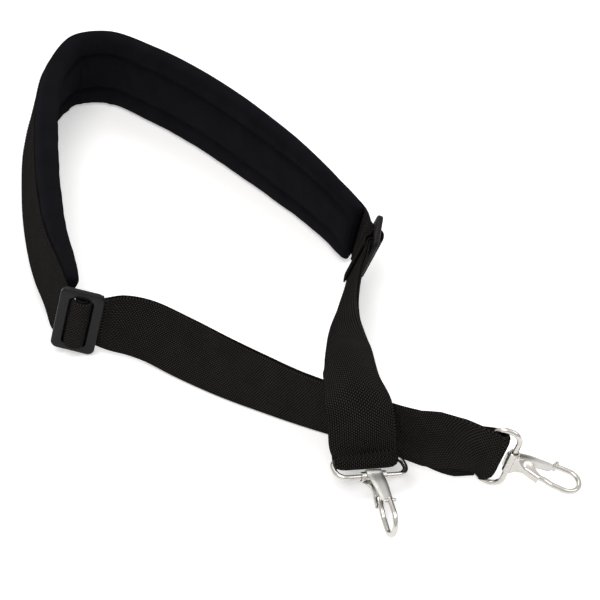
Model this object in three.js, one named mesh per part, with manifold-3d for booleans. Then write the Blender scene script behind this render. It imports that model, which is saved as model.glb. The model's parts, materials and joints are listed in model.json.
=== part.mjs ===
// Drum shoulder strap: a padded shoulder piece with a webbing sewn along its outside, a plastic
// adjuster and a metal snap hook at each end. The strap lies on a flat surface, the pad standing on
// its long edge in a loop. Millimetres, +Z up, X to the right, Y to the back.
import * as THREE from "three";
import { mergeVertices } from "three/addons/utils/BufferGeometryUtils.js";
import Module from "manifold-3d";

// ---------- driving dimensions ----------

const GAP = 0.3; // clearance between two pieces that touch

const WEBBING = { width: 38, thickness: 1.4 };
const LAYER = WEBBING.thickness + 0.5; // distance between the middles of two stacked layers
const FRAME_OUT = LAYER / 2 + 2.9; // the adjuster's middle plane, out from the layers' middle

const PAD = {
  cornerRadius: 4,
  seamAt: 14.5, // distance of each sewn seam from the pad's centre line
  seamHalf: 3.5, // half the width of a seam's valley
  seamShare: 0.54, // and at the narrow ends, as a share of half the width
  seamDepth: 1.7,
  endInset: 3, // how far the webbing runs on past the pad at each end
  steps: 60, // sections along the pad and along its webbing
};

const ADJUSTER = {
  length: 49, // along the webbing's width
  width: 27, // along the webbing
  thickness: 3.6,
  cornerRadius: 4.5,
  slotLength: 39.8,
  slotRadius: 1,
  centreBar: 4.6,
  outerBar: 6,
  bevel: 0.7,
};

const RING = { length: 45.6, width: 18.5, wire: 3.3, cornerRadius: 6.6 };
const FOLD = { radius: 3, clearOfBar: { a: 3.4, b: 6.5 }, open: 16, closed: 62 };

// How the two layers of each end run: where they leave the adjuster's own frame, where the fold at
// the ring begins, and the length between two sections.
const LAYERS = { fromAdjuster: 20, fromFold: 9, foldTail: 2.5, step: 6.5, joint: 1 };

const HOOK = {
  wire: 3.2,
  shankFrom: 7, // from the ring's bar to the end of the wire in the channel
  bendCentre: 33, // from the ring's bar to the centre of the hook's bend
  bendRadius: 7.8, // to the middle of the wire
  rollInner: 2.0,
  rollOuter: 3.0,
  rollWidth: 15,
  sheet: 0.9,
  gateThickness: 0.8,
};

// How finely curves are divided.
const DETAIL = {
  runningWeave: 28,
  returnWeave: 36,
  fold: 6, // steps round the fold at a ring
  wireSides: 8,
  ringCorner: 5,
  slotCorner: 3,
  roll: 20,
  shank: 9,
  bend: 12,
  head: 10,
  curl: 5,
};

// ---------- the strap's route ----------

// Each route is the middle line of a stretch of strap. x, y and z place the middle of the webbing's
// width, and lean tips its upper edge from upright towards the outside of the loop, in degrees.

// The webbing along the pad, from adjuster A's end of the pad to adjuster B's. lift is the height
// of the pad's lower edge above the surface it stands on.
const PAD_ROUTE = [
  { x: -144.5, y: -47, lift: 10, lean: -17 },
  { x: -152.5, y: -20, lift: 6, lean: -14 },
  { x: -162, y: 10, lift: 2, lean: -14 },
  { x: -170.6, y: 52, lift: 0, lean: -15 },
  { x: -176.6, y: 100, lift: 0, lean: -16 },
  { x: -179.4, y: 148, lift: 0, lean: -16 },
  { x: -175.8, y: 194, lift: 0, lean: -14 },
  { x: -159.4, y: 226.4, lift: 0, lean: -10 },
  { x: -130, y: 230.6, lift: 0, lean: -5 },
  { x: -95.6, y: 207.8, lift: 0, lean: -1 },
  { x: -61.6, y: 176.5, lift: 0, lean: 0 },
  { x: -25, y: 134.5, lift: 0, lean: 0 },
  { x: 8, y: 93, lift: 0, lean: 1 },
  { x: 28, y: 62, lift: 1, lean: 5 },
  { x: 39.5, y: 38, lift: 3, lean: 13 },
];

// The two layers of each end, from the middle of its adjuster to where they fold round the ring.
// bow is how far the middle of the width arches up, towards the inside of the loop.
const END_ROUTES = {
  a: [
    { x: -133, y: -50, z: 26.5, lean: 4, bow: 0 },
    { x: -118, y: -51.5, z: 23, lean: -5, bow: 0 },
    { x: -105, y: -51, z: 21, lean: -15, bow: 0 },
    { x: -92, y: -54, z: 19, lean: -23, bow: 0 },
    { x: -68, y: -70, z: 17.5, lean: -25, bow: 0 },
    { x: -44.5, y: -88, z: 18.2, lean: -18, bow: 0 },
    { x: -22, y: -103.5, z: 18.9, lean: -10, bow: 0 },
    { x: 1, y: -118, z: 19.2, lean: -3, bow: 0 },
    { x: 30, y: -133, z: 19.4, lean: 0, bow: 0 },
    { x: 58, y: -148.5, z: 20.1, lean: -1, bow: 0 },
    { x: 79, y: -162, z: 23.9, lean: -5, bow: 0 },
    { x: 94, y: -169, z: 27, lean: 1, bow: 0 },
    { x: 103, y: -172.5, z: 27, lean: 3, bow: 0 },
    { x: 113, y: -174.5, z: 24, lean: 3, bow: 0 },
  ],
  b: [
    { x: 37.5, y: 17, z: 25.6, lean: 20, bow: 0 },
    { x: 35.5, y: 3, z: 23.2, lean: 21, bow: 0 },
    { x: 31, y: -14, z: 21, lean: 21, bow: 1 },
    { x: 27, y: -35, z: 22.5, lean: 22, bow: 3 },
    { x: 24, y: -58, z: 27, lean: 26, bow: 6 },
    { x: 23.3, y: -80, z: 32.5, lean: 34, bow: 9 },
    { x: 24, y: -99, z: 40.5, lean: 52, bow: 10.5 },
    { x: 26, y: -113, z: 47.5, lean: 71, bow: 11 },
    { x: 27.9, y: -125, z: 50, lean: 80, bow: 11 },
    { x: 30, y: -136, z: 50.3, lean: 85, bow: 10.5 },
    { x: 32.4, y: -148, z: 49, lean: 87, bow: 8 },
    { x: 34.6, y: -156, z: 43, lean: 90, bow: 4.5 },
    { x: 35.5, y: -160.3, z: 32, lean: 94, bow: 3 },
    { x: 35.8, y: -162.7, z: 22.5, lean: 97, bow: 2 },
    { x: 36.3, y: -165, z: 17.6, lean: 99, bow: 0.5 },
    { x: 37.2, y: -168.5, z: 16.6, lean: 99.5, bow: 0 },
    { x: 38.6, y: -173.2, z: 16.5, lean: 99.5, bow: 0 },
  ],
};

// The side of each end on which the outside of the loop lies, seen along it from its adjuster.
const OUTSIDE = { pad: 1, a: -1, b: 1 };

// The pad's thickness and width by the distance from its nearer end.
const PAD_TAPER = [
  { from: 0, width: 40, thickness: 7.5 },
  { from: 12, width: 43, thickness: 9.5 },
  { from: 40, width: 49, thickness: 11.5 },
  { from: 80, width: 55, thickness: 13 },
  { from: 130, width: 58.5, thickness: 13.5 },
];

// How the running layer passes an adjuster: along is the distance from the centre bar towards the
// ring, out is the height above the middle of the frame.
const RUNNING_WEAVE = [
  { along: -9.4, out: -4.9 },
  { along: -8, out: -3.6 },
  { along: -6.6, out: -2.1 },
  { along: -5.6, out: -0.3 },
  { along: -5.1, out: 1.5 },
  { along: -4.2, out: 3.3 },
  { along: -2.4, out: 4.5 },
  { along: 0, out: 4.8 },
  { along: 2.4, out: 4.5 },
  { along: 4.4, out: 3.2 },
  { along: 5.4, out: 1.1 },
  { along: 6, out: -1.2 },
  { along: 7.4, out: -2.7 },
  { along: 9.5, out: -2.9 },
  { along: 14.4, out: -2.9 },
];

// How the return layer ends: under the frame, round the centre bar and back along itself.
const RETURN_WEAVE = [
  { along: 14.4, out: -4.6 },
  { along: 8.5, out: -4.6 },
  { along: 5.8, out: -4.1 },
  { along: 4.2, out: -2.5 },
  { along: 3.5, out: -0.6 },
  { along: 3.4, out: 1.1 },
  { along: 2.1, out: 2.6 },
  { along: 0, out: 2.9 },
  { along: -2.1, out: 2.6 },
  { along: -3.4, out: 1.1 },
  { along: -3.4, out: -0.9 },
  { along: -2.3, out: -2.4 },
  { along: -0.6, out: -2.9 },
  { along: 1.2, out: -3.6 },
  { along: 3.6, out: -5.7 },
  { along: 6.5, out: -6.4 },
  { along: 12, out: -6.4 },
];

// How far the two layers slip past each other across their width near the ring.
const SLIP = [
  { from: 3, a: 0, b: 0 },
  { from: 10, a: 2, b: 0.5 },
  { from: 18, a: 4.5, b: 0.8 },
  { from: 32, a: 4.5, b: 0.8 },
  { from: 50, a: 0.6, b: 0.6 },
  { from: 90, a: 0, b: 0 },
];

// The sheet-metal hook body, section by section along the hook: back is the outside of its web,
// half its half width, top the height of its two side walls.
const BODY_SECTIONS = [
  { along: 0.5, back: -2.9, half: 7.4, top: -1.9 },
  { along: 2.5, back: -3.0, half: 7.1, top: -1.6 },
  { along: 4.5, back: -3.4, half: 5.8, top: -0.4 },
  { along: 7, back: -4.2, half: 4.8, top: 1.3 },
  { along: 9.5, back: -5.1, half: 4.4, top: 1.9 },
  { along: 12, back: -6.1, half: 3.8, top: 0.8 },
  { along: 14.5, back: -7.1, half: 3.2, top: -2.4 },
  { along: 17, back: -8.1, half: 2.9, top: -4.3 },
];

// The hook wire, each row a place of its middle line: from the channel to the bend, and from the
// bend to the tip. A T head lies across the tip.
const TO_BEND = { along: 25.5, out: -7.0 };
const TO_TIP = [
  { along: 27, out: 8.1 },
  { along: 23.4, out: 8.3 },
];
const HEAD = { radius: 1.1, length: 7.4, along: 25.6, out: 8.2 };

// The gate: a curl round the roll, from one angle to the other, and on from there in a leaf that
// grows narrower.
const CURL = { from: 190, to: 70, half: 4.6 };
const LEAF = [
  { along: 9, out: 4.9, half: 4.4 },
  { along: 16, out: 5.5, half: 3.8 },
  { along: 24.2, out: 5.75, half: 3.1 },
];

const SWING = { a: 0, b: -6 }; // how far each hook hangs from its ring's plane, degrees
const HOOK_SIDE = { a: 1, b: -1 }; // which way round the gate faces

// ---------- the pad's section ----------

// A value read from a table by straight lines between its rows.
function tableValue(rows, key, column, x) {
  if (x <= rows[0][key]) return rows[0][column];
  for (let i = 1; i < rows.length; i++) {
    if (x <= rows[i][key]) {
      const f = (x - rows[i - 1][key]) / (rows[i][key] - rows[i - 1][key]);
      return rows[i - 1][column] + f * (rows[i][column] - rows[i - 1][column]);
    }
  }
  return rows[rows.length - 1][column];
}

// The pad's section at a distance from its nearer end, once round, as steps up its width and out
// from the webbing: flat outside, rounded edges, two seam valleys on the inside.
function padSection(fromEnd) {
  const half = tableValue(PAD_TAPER, "from", "width", fromEnd) / 2;
  const thickness = tableValue(PAD_TAPER, "from", "thickness", fromEnd);
  const outside = -(GAP + WEBBING.thickness / 2);
  const inside = outside - thickness;
  const r = PAD.cornerRadius;
  const section = [];
  const edge = (side, face, angles) => {
    for (const angle of angles) {
      const a = THREE.MathUtils.degToRad(angle);
      section.push({
        up: side * (half - r + r * Math.cos(a)),
        out: (face > 0 ? outside - r : inside + r) + face * r * Math.sin(a),
      });
    }
  };
  edge(1, 1, [90, 45, 0]);
  edge(1, -1, [0, 45, 90]);
  const seam = Math.min(PAD.seamAt, half * PAD.seamShare);
  for (const middle of [seam, -seam]) {
    section.push({ up: middle + PAD.seamHalf, out: inside });
    section.push({ up: middle, out: inside + PAD.seamDepth });
    section.push({ up: middle - PAD.seamHalf, out: inside });
  }
  edge(-1, -1, [90, 45, 0]);
  edge(-1, 1, [0, 45, 90]);
  return section;
}

// The height of the webbing's middle above the pad's lowest point.
function standingHeight(fromEnd, leanDegrees) {
  const lean = THREE.MathUtils.degToRad(leanDegrees);
  const heights = padSection(fromEnd).map(
    ({ up, out }) => up * Math.cos(lean) - out * Math.sin(lean),
  );
  return -Math.min(...heights);
}

// The pad's route with its heights worked out from the lift of its lower edge.
function standingRoute(rows) {
  const reach = [0];
  for (let i = 1; i < rows.length; i++) {
    reach.push(reach[i - 1] + Math.hypot(rows[i].x - rows[i - 1].x, rows[i].y - rows[i - 1].y));
  }
  const whole = reach[rows.length - 1];
  return rows.map((row, i) => {
    const fromEnd = Math.min(reach[i], whole - reach[i]);
    return { ...row, z: row.lift + standingHeight(fromEnd, row.lean) };
  });
}

// ---------- routes as functions of length ----------

// A route's frame at a distance along it, straight on beyond both ends: along is the way of travel,
// wide runs up the webbing's width, and out points to the outside of the loop.
function makeRoute(rows, outside) {
  const line = new THREE.CatmullRomCurve3(
    rows.map((row) => new THREE.Vector3(row.x, row.y, row.z)),
    false,
    "centripetal",
  );
  line.arcLengthDivisions = 800;
  const twist = new THREE.CatmullRomCurve3(
    rows.map((row) => new THREE.Vector3(row.lean, row.bow ?? 0, 0)),
    false,
    "catmullrom",
    0.5,
  );
  const length = line.getLength();
  const frameAt = (distance) => {
    const u = THREE.MathUtils.clamp(distance / length, 0, 1);
    const t = line.getUtoTmapping(u);
    const along = line.getTangent(t);
    const { x: leanDegrees, y: bow } = twist.getPoint(t);
    const lean = THREE.MathUtils.degToRad(leanDegrees);
    const up = new THREE.Vector3(0, 0, 1);
    const level = new THREE.Vector3().crossVectors(up, along).normalize();
    const upright = new THREE.Vector3().crossVectors(along, level).normalize();
    const outward = level.multiplyScalar(outside);
    const wide = upright
      .clone()
      .multiplyScalar(Math.cos(lean))
      .addScaledVector(outward, Math.sin(lean));
    const out = outward.multiplyScalar(Math.cos(lean)).addScaledVector(upright, -Math.sin(lean));
    const place = line.getPoint(t).addScaledVector(along, distance - u * length);
    return { place, along, wide, out, bow };
  };
  return { length, frameAt };
}

const ROUTES = {
  pad: makeRoute(standingRoute(PAD_ROUTE), OUTSIDE.pad),
  a: makeRoute(END_ROUTES.a, OUTSIDE.a),
  b: makeRoute(END_ROUTES.b, OUTSIDE.b),
};

// A frame of a layer that lies beside a route, out from it and slipped across its width.
function beside(route, distance, layer, slip = 0) {
  const frame = route.frameAt(distance);
  frame.place.addScaledVector(frame.out, layer);
  return { ...frame, layer, slip };
}

// ---------- meshes from sections ----------

// A closed solid through rings of points, each ring an array of Vector3 with the same count. Its
// ends are closed by the given triangles, which count round a ring, or by a fan from its middle. A
// solid that closes on itself has no ends. The sides from the point numbered mirroredFrom on are
// cut along their other diagonal.
function solidThrough(rings, { closed = false, caps = null, mirroredFrom = Infinity } = {}) {
  const count = rings[0].length;
  const positions = rings.flat().flatMap((point) => [point.x, point.y, point.z]);
  const index = [];
  const last = closed ? rings.length : rings.length - 1;
  for (let i = 0; i < last; i++) {
    const a = i * count;
    const b = ((i + 1) % rings.length) * count;
    for (let j = 0; j < count; j++) {
      const k = (j + 1) % count;
      if (j < mirroredFrom) index.push(a + j, b + j, b + k, a + j, b + k, a + k);
      else index.push(a + j, b + j, a + k, a + k, b + j, b + k);
    }
  }
  const closeEnd = (ring, order) => {
    const start = ring * count;
    if (caps) {
      for (const cap of caps) index.push(...order.map((which) => start + cap[which]));
      return;
    }
    const centre = new THREE.Vector3();
    rings[ring].forEach((point) => centre.addScaledVector(point, 1 / count));
    const hub = positions.length / 3;
    positions.push(centre.x, centre.y, centre.z);
    for (let j = 0; j < count; j++) {
      const fan = [hub, start + j, start + ((j + 1) % count)];
      index.push(...order.map((which) => fan[which]));
    }
  };
  if (!closed) {
    closeEnd(0, [0, 1, 2]);
    closeEnd(rings.length - 1, [0, 2, 1]);
  }
  const geometry = new THREE.BufferGeometry();
  geometry.setAttribute("position", new THREE.Float32BufferAttribute(positions, 3));
  geometry.setIndex(index);
  return facingOut(geometry);
}

// Turns a closed mesh's faces outwards, whichever way they were made.
function facingOut(geometry) {
  const p = geometry.getAttribute("position");
  const index = geometry.getIndex();
  let volume = 0;
  const [a, b, c] = [new THREE.Vector3(), new THREE.Vector3(), new THREE.Vector3()];
  for (let i = 0; i < index.count; i += 3) {
    a.fromBufferAttribute(p, index.getX(i));
    b.fromBufferAttribute(p, index.getX(i + 1));
    c.fromBufferAttribute(p, index.getX(i + 2));
    volume += a.dot(b.cross(c)) / 6;
  }
  if (volume < 0) {
    for (let i = 0; i < index.count; i += 3) {
      const second = index.getX(i + 1);
      index.setX(i + 1, index.getX(i + 2));
      index.setX(i + 2, second);
    }
  }
  geometry.computeVertexNormals();
  return geometry;
}

// A band's section, as shares of half its width and half its thickness, and the triangles that
// close its ends. A bowed band has three more points in each face.
const FLAT_SECTION = {
  corners: [[1, 1], [-1, 1], [-1, -1], [1, -1]],
  caps: [[0, 1, 2], [0, 2, 3]],
};
const BOWED_SECTION = {
  corners: [
    [1, 1], [0.5, 1], [0, 1], [-0.5, 1], [-1, 1],
    [-1, -1], [-0.5, -1], [0, -1], [0.5, -1], [1, -1],
  ],
  caps: [
    [0, 1, 8], [0, 8, 9], [1, 2, 7], [1, 7, 8],
    [2, 3, 6], [2, 6, 7], [3, 4, 5], [3, 5, 6],
  ],
};

// A band of webbing along places that each have a point, the direction of the width and the bow of
// the width's middle. A place in a layer keeps the layer's distance from its route right across
// the width. Both faces of a band are cut along the same diagonals, so stacked layers stay clear.
function band(places) {
  const bowed = places.some((here) => here.bow > 0);
  const section = bowed ? BOWED_SECTION : FLAT_SECTION;
  const flat = WEBBING.width / 2;
  const rings = places.map((here, i) => {
    const before = places[Math.max(i - 1, 0)].place;
    const after = places[Math.min(i + 1, places.length - 1)].place;
    const along = new THREE.Vector3().subVectors(after, before).normalize();
    const thick = new THREE.Vector3().crossVectors(here.wide, along).normalize();
    const half = flat - ((2 / 3) * here.bow ** 2) / flat;
    const layer = here.layer ?? 0;
    const facing = Math.sign(thick.dot(here.out));
    return section.corners.map(([share, t]) => {
      const w = share + (here.slip ?? 0) / half;
      const slope = (2 * w * here.bow) / half;
      const layered = here.out.clone().addScaledVector(here.wide, -slope).normalize();
      const normal = here.layer === undefined ? thick : layered.multiplyScalar(facing);
      return here.place
        .clone()
        .addScaledVector(here.wide, w * half)
        .addScaledVector(here.out, (w ** 2 - 0.5) * here.bow - layer)
        .addScaledVector(normal, facing * layer + (t * WEBBING.thickness) / 2);
    });
  });
  return solidThrough(rings, { caps: section.caps, mirroredFrom: section.corners.length / 2 });
}

// The rows of a weave table as a smooth line of { along, out } steps.
function smoothWeave(rows, steps) {
  const line = new THREE.CatmullRomCurve3(
    rows.map((row) => new THREE.Vector3(row.along, row.out, 0)),
    false,
    "centripetal",
  );
  return line.getPoints(steps).map((point) => ({ along: point.x, out: point.y }));
}

// ---------- soft pieces ----------

function shoulderPad() {
  const route = ROUTES.pad;
  const steps = PAD.steps;
  const rings = [];
  for (let i = 0; i <= steps; i++) {
    const distance = PAD.endInset + ((route.length - 2 * PAD.endInset) * i) / steps;
    const frame = route.frameAt(distance);
    const section = padSection(Math.min(distance, route.length - distance));
    rings.push(
      section.map(({ up, out }) =>
        frame.place.clone().addScaledVector(frame.wide, up).addScaledVector(frame.out, out),
      ),
    );
  }
  return solidThrough(rings, { mirroredFrom: rings[0].length - 1 });
}

// The webbing along the pad, up to its ends.
function webbingMiddle() {
  const route = ROUTES.pad;
  const steps = PAD.steps;
  const places = [];
  for (let i = 0; i <= steps; i++) {
    const distance = PAD.endInset + ((route.length - 2 * PAD.endInset) * i) / steps;
    places.push(route.frameAt(distance));
  }
  return band(places);
}

// Half the distance between the two layers of an end, by the distance from the ring's fold.
function layerOffset(fromFold) {
  const f = THREE.MathUtils.smoothstep(fromFold, FOLD.open, FOLD.closed);
  return FOLD.radius + (LAYER / 2 - FOLD.radius) * f;
}

// The distances along an end's route at which both layers have a section.
function stations(route) {
  const first = LAYERS.fromAdjuster;
  const last = route.length - LAYERS.fromFold;
  const steps = Math.round((last - first) / LAYERS.step);
  return Array.from({ length: steps + 1 }, (_, i) => first + ((last - first) * i) / steps);
}

// A section of one layer of an end; side is 1 for the running layer and -1 for the return layer.
function layerPlace(end, distance, side) {
  const route = ROUTES[end];
  const fromFold = route.length - distance;
  const slip = side * tableValue(SLIP, "from", end, fromFold);
  return beside(route, distance, side * layerOffset(fromFold), slip);
}

// The running layer of an end: from the pad's end under and over the adjuster's bars, along to the
// ring, and round its inner bar to the inner side.
function webbingOuter(end) {
  const route = ROUTES[end];
  const fromPadEnd = PAD.endInset - LAYERS.joint;
  const places = [ROUTES.pad.frameAt(end === "a" ? fromPadEnd : ROUTES.pad.length - fromPadEnd)];
  for (const { along, out } of smoothWeave(RUNNING_WEAVE, DETAIL.runningWeave)) {
    places.push(fromAdjuster(end, along, out));
  }
  for (const distance of stations(route)) places.push(layerPlace(end, distance, 1));
  places.push(layerPlace(end, route.length - FOLD.radius - LAYERS.foldTail, 1));
  for (let k = 0; k <= DETAIL.fold; k++) {
    const angle = (Math.PI * k) / DETAIL.fold;
    const frame = route.frameAt(route.length - FOLD.radius * (1 - Math.sin(angle)));
    frame.place.addScaledVector(frame.out, FOLD.radius * Math.cos(angle));
    places.push(frame);
  }
  places.push(beside(route, route.length - FOLD.radius - LAYERS.foldTail, -FOLD.radius));
  return band(places);
}

// The return layer: from just behind the fold back to the adjuster, its end round the centre bar.
function webbingInner(end) {
  const route = ROUTES[end];
  const start = route.length - FOLD.radius - LAYERS.foldTail - LAYERS.joint;
  const places = [layerPlace(end, start, -1)];
  for (const distance of stations(route).reverse()) places.push(layerPlace(end, distance, -1));
  for (const { along, out } of smoothWeave(RETURN_WEAVE, DETAIL.returnWeave)) {
    places.push(fromAdjuster(end, along, out));
  }
  return band(places.reverse());
}

// ---------- the adjusters ----------

function roundedRectangle(shape, x0, y0, x1, y1, r) {
  shape.moveTo(x0 + r, y0);
  shape.lineTo(x1 - r, y0);
  shape.absarc(x1 - r, y0 + r, r, -Math.PI / 2, 0);
  shape.lineTo(x1, y1 - r);
  shape.absarc(x1 - r, y1 - r, r, 0, Math.PI / 2);
  shape.lineTo(x0 + r, y1);
  shape.absarc(x0 + r, y1 - r, r, Math.PI / 2, Math.PI);
  shape.lineTo(x0, y0 + r);
  shape.absarc(x0 + r, y0 + r, r, Math.PI, 1.5 * Math.PI);
  return shape;
}

function adjuster() {
  const { length, width, thickness, cornerRadius, slotLength, centreBar, outerBar } = ADJUSTER;
  const b = ADJUSTER.bevel;
  const outline = roundedRectangle(
    new THREE.Shape(),
    -width / 2 + b,
    -length / 2 + b,
    width / 2 - b,
    length / 2 - b,
    cornerRadius - b,
  );
  const inner = centreBar / 2;
  const outer = width / 2 - outerBar;
  for (const side of [-1, 1]) {
    const [x0, x1] = side > 0 ? [inner, outer] : [-outer, -inner];
    const slot = roundedRectangle(
      new THREE.Path(),
      x0 - b,
      -slotLength / 2 - b,
      x1 + b,
      slotLength / 2 + b,
      ADJUSTER.slotRadius + b,
    );
    outline.holes.push(slot);
  }
  const geometry = new THREE.ExtrudeGeometry(outline, {
    depth: thickness - 2 * b,
    bevelEnabled: true,
    bevelThickness: b,
    bevelSize: b,
    bevelSegments: 1,
    curveSegments: DETAIL.slotCorner,
  });
  return geometry.translate(0, 0, -thickness / 2 + b);
}

// A place in an adjuster's own frame: along its strap towards the ring, out from its middle plane.
function fromAdjuster(end, along, out) {
  const frame = ROUTES[end].frameAt(0);
  frame.place.addScaledVector(frame.along, along).addScaledVector(frame.out, FRAME_OUT + out);
  return frame;
}

function placedAdjuster(end) {
  const frame = fromAdjuster(end, 0, 0);
  const face = new THREE.Vector3().crossVectors(frame.along, frame.wide);
  const matrix = new THREE.Matrix4().makeBasis(frame.along, frame.wide, face);
  matrix.setPosition(frame.place);
  return adjuster().applyMatrix4(matrix);
}

// ---------- the rings ----------

// The ring's own frame: origin at its outer bar's middle, reach along the strap away from it, bar
// along the webbing's width.
function ringFrame(end) {
  const beyond = FOLD.clearOfBar[end] + RING.wire / 2 + WEBBING.thickness / 2;
  const frame = beside(ROUTES[end], ROUTES[end].length + beyond, 0);
  return { place: frame.place, reach: frame.along, bar: frame.wide };
}

function ringGeometry(end) {
  const { place, reach, bar } = ringFrame(end);
  const face = new THREE.Vector3().crossVectors(reach, bar);
  const half = RING.length / 2 - RING.wire / 2;
  const depth = RING.width - RING.wire;
  const r = RING.cornerRadius;
  const path = [];
  const corners = [
    [-r, half - r, 0],
    [-depth + r, half - r, 90],
    [-depth + r, -half + r, 180],
    [-r, -half + r, 270],
  ];
  for (const [x, y, from] of corners) {
    for (let k = 0; k <= DETAIL.ringCorner; k++) {
      const angle = THREE.MathUtils.degToRad(from + (90 * k) / DETAIL.ringCorner);
      path.push([x + r * Math.cos(angle), y + r * Math.sin(angle), angle]);
    }
  }
  const rings = path.map(([x, y, angle]) => {
    const middle = place.clone().addScaledVector(reach, x).addScaledVector(bar, y);
    const away = reach.clone().multiplyScalar(Math.cos(angle)).addScaledVector(bar, Math.sin(angle));
    return circle(middle, away, face, RING.wire / 2);
  });
  return solidThrough(rings, { closed: true });
}

// A ring of points round a wire's middle, in the plane of the directions a and b.
function circle(middle, a, b, radius) {
  const points = [];
  for (let j = 0; j < DETAIL.wireSides; j++) {
    const angle = (2 * Math.PI * (j + 0.5)) / DETAIL.wireSides;
    points.push(
      middle
        .clone()
        .addScaledVector(a, radius * Math.cos(angle))
        .addScaledVector(b, radius * Math.sin(angle)),
    );
  }
  return points;
}

// ---------- the snap hooks, each in its own frame ----------
// X runs from the ring's bar to the hook's end, Y from the shank to the gate, Z along the bar.

const wasm = await Module();
wasm.setup();

function toSolid(geometry) {
  const plain = geometry.index ? geometry.toNonIndexed() : geometry.clone();
  plain.deleteAttribute("normal");
  plain.deleteAttribute("uv");
  const merged = mergeVertices(plain, 1e-4);
  return new wasm.Manifold(
    new wasm.Mesh({
      numProp: 3,
      vertProperties: merged.attributes.position.array,
      triVerts: new Uint32Array(merged.index.array),
    }),
  );
}

function toGeometry(solid) {
  const mesh = solid.getMesh();
  const geometry = new THREE.BufferGeometry();
  geometry.setAttribute("position", new THREE.BufferAttribute(mesh.vertProperties, 3));
  geometry.setIndex(new THREE.BufferAttribute(mesh.triVerts, 1));
  geometry.computeVertexNormals();
  return geometry;
}

// The roll of sheet round the ring's bar: a tube, made from a profile turned about the bar.
function roll() {
  const half = HOOK.rollWidth / 2;
  const profile = [
    new THREE.Vector2(HOOK.rollInner, -half),
    new THREE.Vector2(HOOK.rollOuter, -half),
    new THREE.Vector2(HOOK.rollOuter, half),
    new THREE.Vector2(HOOK.rollInner, half),
    new THREE.Vector2(HOOK.rollInner, -half),
  ];
  return new THREE.LatheGeometry(profile, DETAIL.roll).rotateX(Math.PI / 2);
}

// The end of a U section of eight points: one wall, the web and the other wall, two triangles each.
const U_CAPS = [[0, 1, 6], [0, 6, 7], [1, 2, 5], [1, 5, 6], [2, 3, 4], [2, 4, 5]];

// The channel: a U section that opens towards the gate, from a flat sheet at the roll to a crimp
// round the shank.
function channel() {
  const s = HOOK.sheet;
  const rings = BODY_SECTIONS.map(({ along, back, half, top }) => {
    const points = [
      [top, half],
      [back, half],
      [back, -half],
      [top, -half],
      [top, -half + s],
      [back + s, -half + s],
      [back + s, half - s],
      [top, half - s],
    ];
    return points.map(([y, z]) => new THREE.Vector3(along, y, z));
  });
  return solidThrough(rings, { caps: U_CAPS });
}

function hookBody() {
  return toGeometry(toSolid(roll()).add(toSolid(channel())));
}

// The wire: its shank lies in the channel, the bend is a half circle, and the tip ends in a T head.
function hookWire() {
  const { bendCentre, bendRadius, wire, sheet, shankFrom } = HOOK;
  const webAt = (along) => tableValue(BODY_SECTIONS, "along", "back", along);
  const rest = sheet + GAP + wire / 2;
  const shank = [
    new THREE.Vector3(shankFrom, webAt(shankFrom) + rest + 0.1, 0),
    new THREE.Vector3(13, webAt(13) + rest, 0),
    new THREE.Vector3(20.5, webAt(20.5) + rest, 0),
    new THREE.Vector3(TO_BEND.along, TO_BEND.out, 0),
  ];
  const points = new THREE.CatmullRomCurve3(shank).getPoints(DETAIL.shank);
  for (let k = 0; k <= DETAIL.bend; k++) {
    const angle = -Math.PI / 2 + (Math.PI * k) / DETAIL.bend;
    points.push(
      new THREE.Vector3(
        bendCentre + bendRadius * Math.cos(angle),
        bendRadius * Math.sin(angle),
        0,
      ),
    );
  }
  for (const { along, out } of TO_TIP) points.push(new THREE.Vector3(along, out, 0));
  const rings = points.map((point, i) => {
    const before = points[Math.max(i - 1, 0)];
    const after = points[Math.min(i + 1, points.length - 1)];
    const along = new THREE.Vector3().subVectors(after, before).normalize();
    const across = new THREE.Vector3(-along.y, along.x, 0);
    return circle(point, across, new THREE.Vector3(0, 0, 1), wire / 2);
  });
  const head = new THREE.CylinderGeometry(HEAD.radius, HEAD.radius, HEAD.length, DETAIL.head);
  head.rotateX(Math.PI / 2).translate(HEAD.along, HEAD.out, 0);
  return toGeometry(toSolid(solidThrough(rings)).add(toSolid(head)));
}

// The gate: a flat strip that curls over the roll at its root and reaches under the wire's tip.
function gate() {
  const t = HOOK.gateThickness;
  const r = HOOK.rollOuter + GAP + t / 2;
  const line = [];
  for (let k = 0; k <= DETAIL.curl; k++) {
    const angle = THREE.MathUtils.degToRad(CURL.from + ((CURL.to - CURL.from) * k) / DETAIL.curl);
    line.push({ along: r * Math.cos(angle), out: r * Math.sin(angle), half: CURL.half });
  }
  line.push(...LEAF);
  const rings = line.map(({ along: x, out: y, half }, i) => {
    const before = line[Math.max(i - 1, 0)];
    const after = line[Math.min(i + 1, line.length - 1)];
    const run = new THREE.Vector2(after.along - before.along, after.out - before.out).normalize();
    const across = new THREE.Vector2(-run.y, run.x).multiplyScalar(t / 2);
    return [
      new THREE.Vector3(x + across.x, y + across.y, half),
      new THREE.Vector3(x - across.x, y - across.y, half),
      new THREE.Vector3(x - across.x, y - across.y, -half),
      new THREE.Vector3(x + across.x, y + across.y, -half),
    ];
  });
  return solidThrough(rings);
}

// A hook's place: its own origin on the ring's outer bar.
function hookMatrix(end) {
  const { place, reach, bar } = ringFrame(end);
  const axis = bar.clone();
  const x = reach.clone().applyAxisAngle(axis, THREE.MathUtils.degToRad(SWING[end] * HOOK_SIDE[end]));
  const y = new THREE.Vector3().crossVectors(axis, x).multiplyScalar(HOOK_SIDE[end]);
  const z = new THREE.Vector3().crossVectors(x, y);
  return new THREE.Matrix4().makeBasis(x, y, z).setPosition(place);
}

// ---------- materials and the assembly ----------

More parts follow.
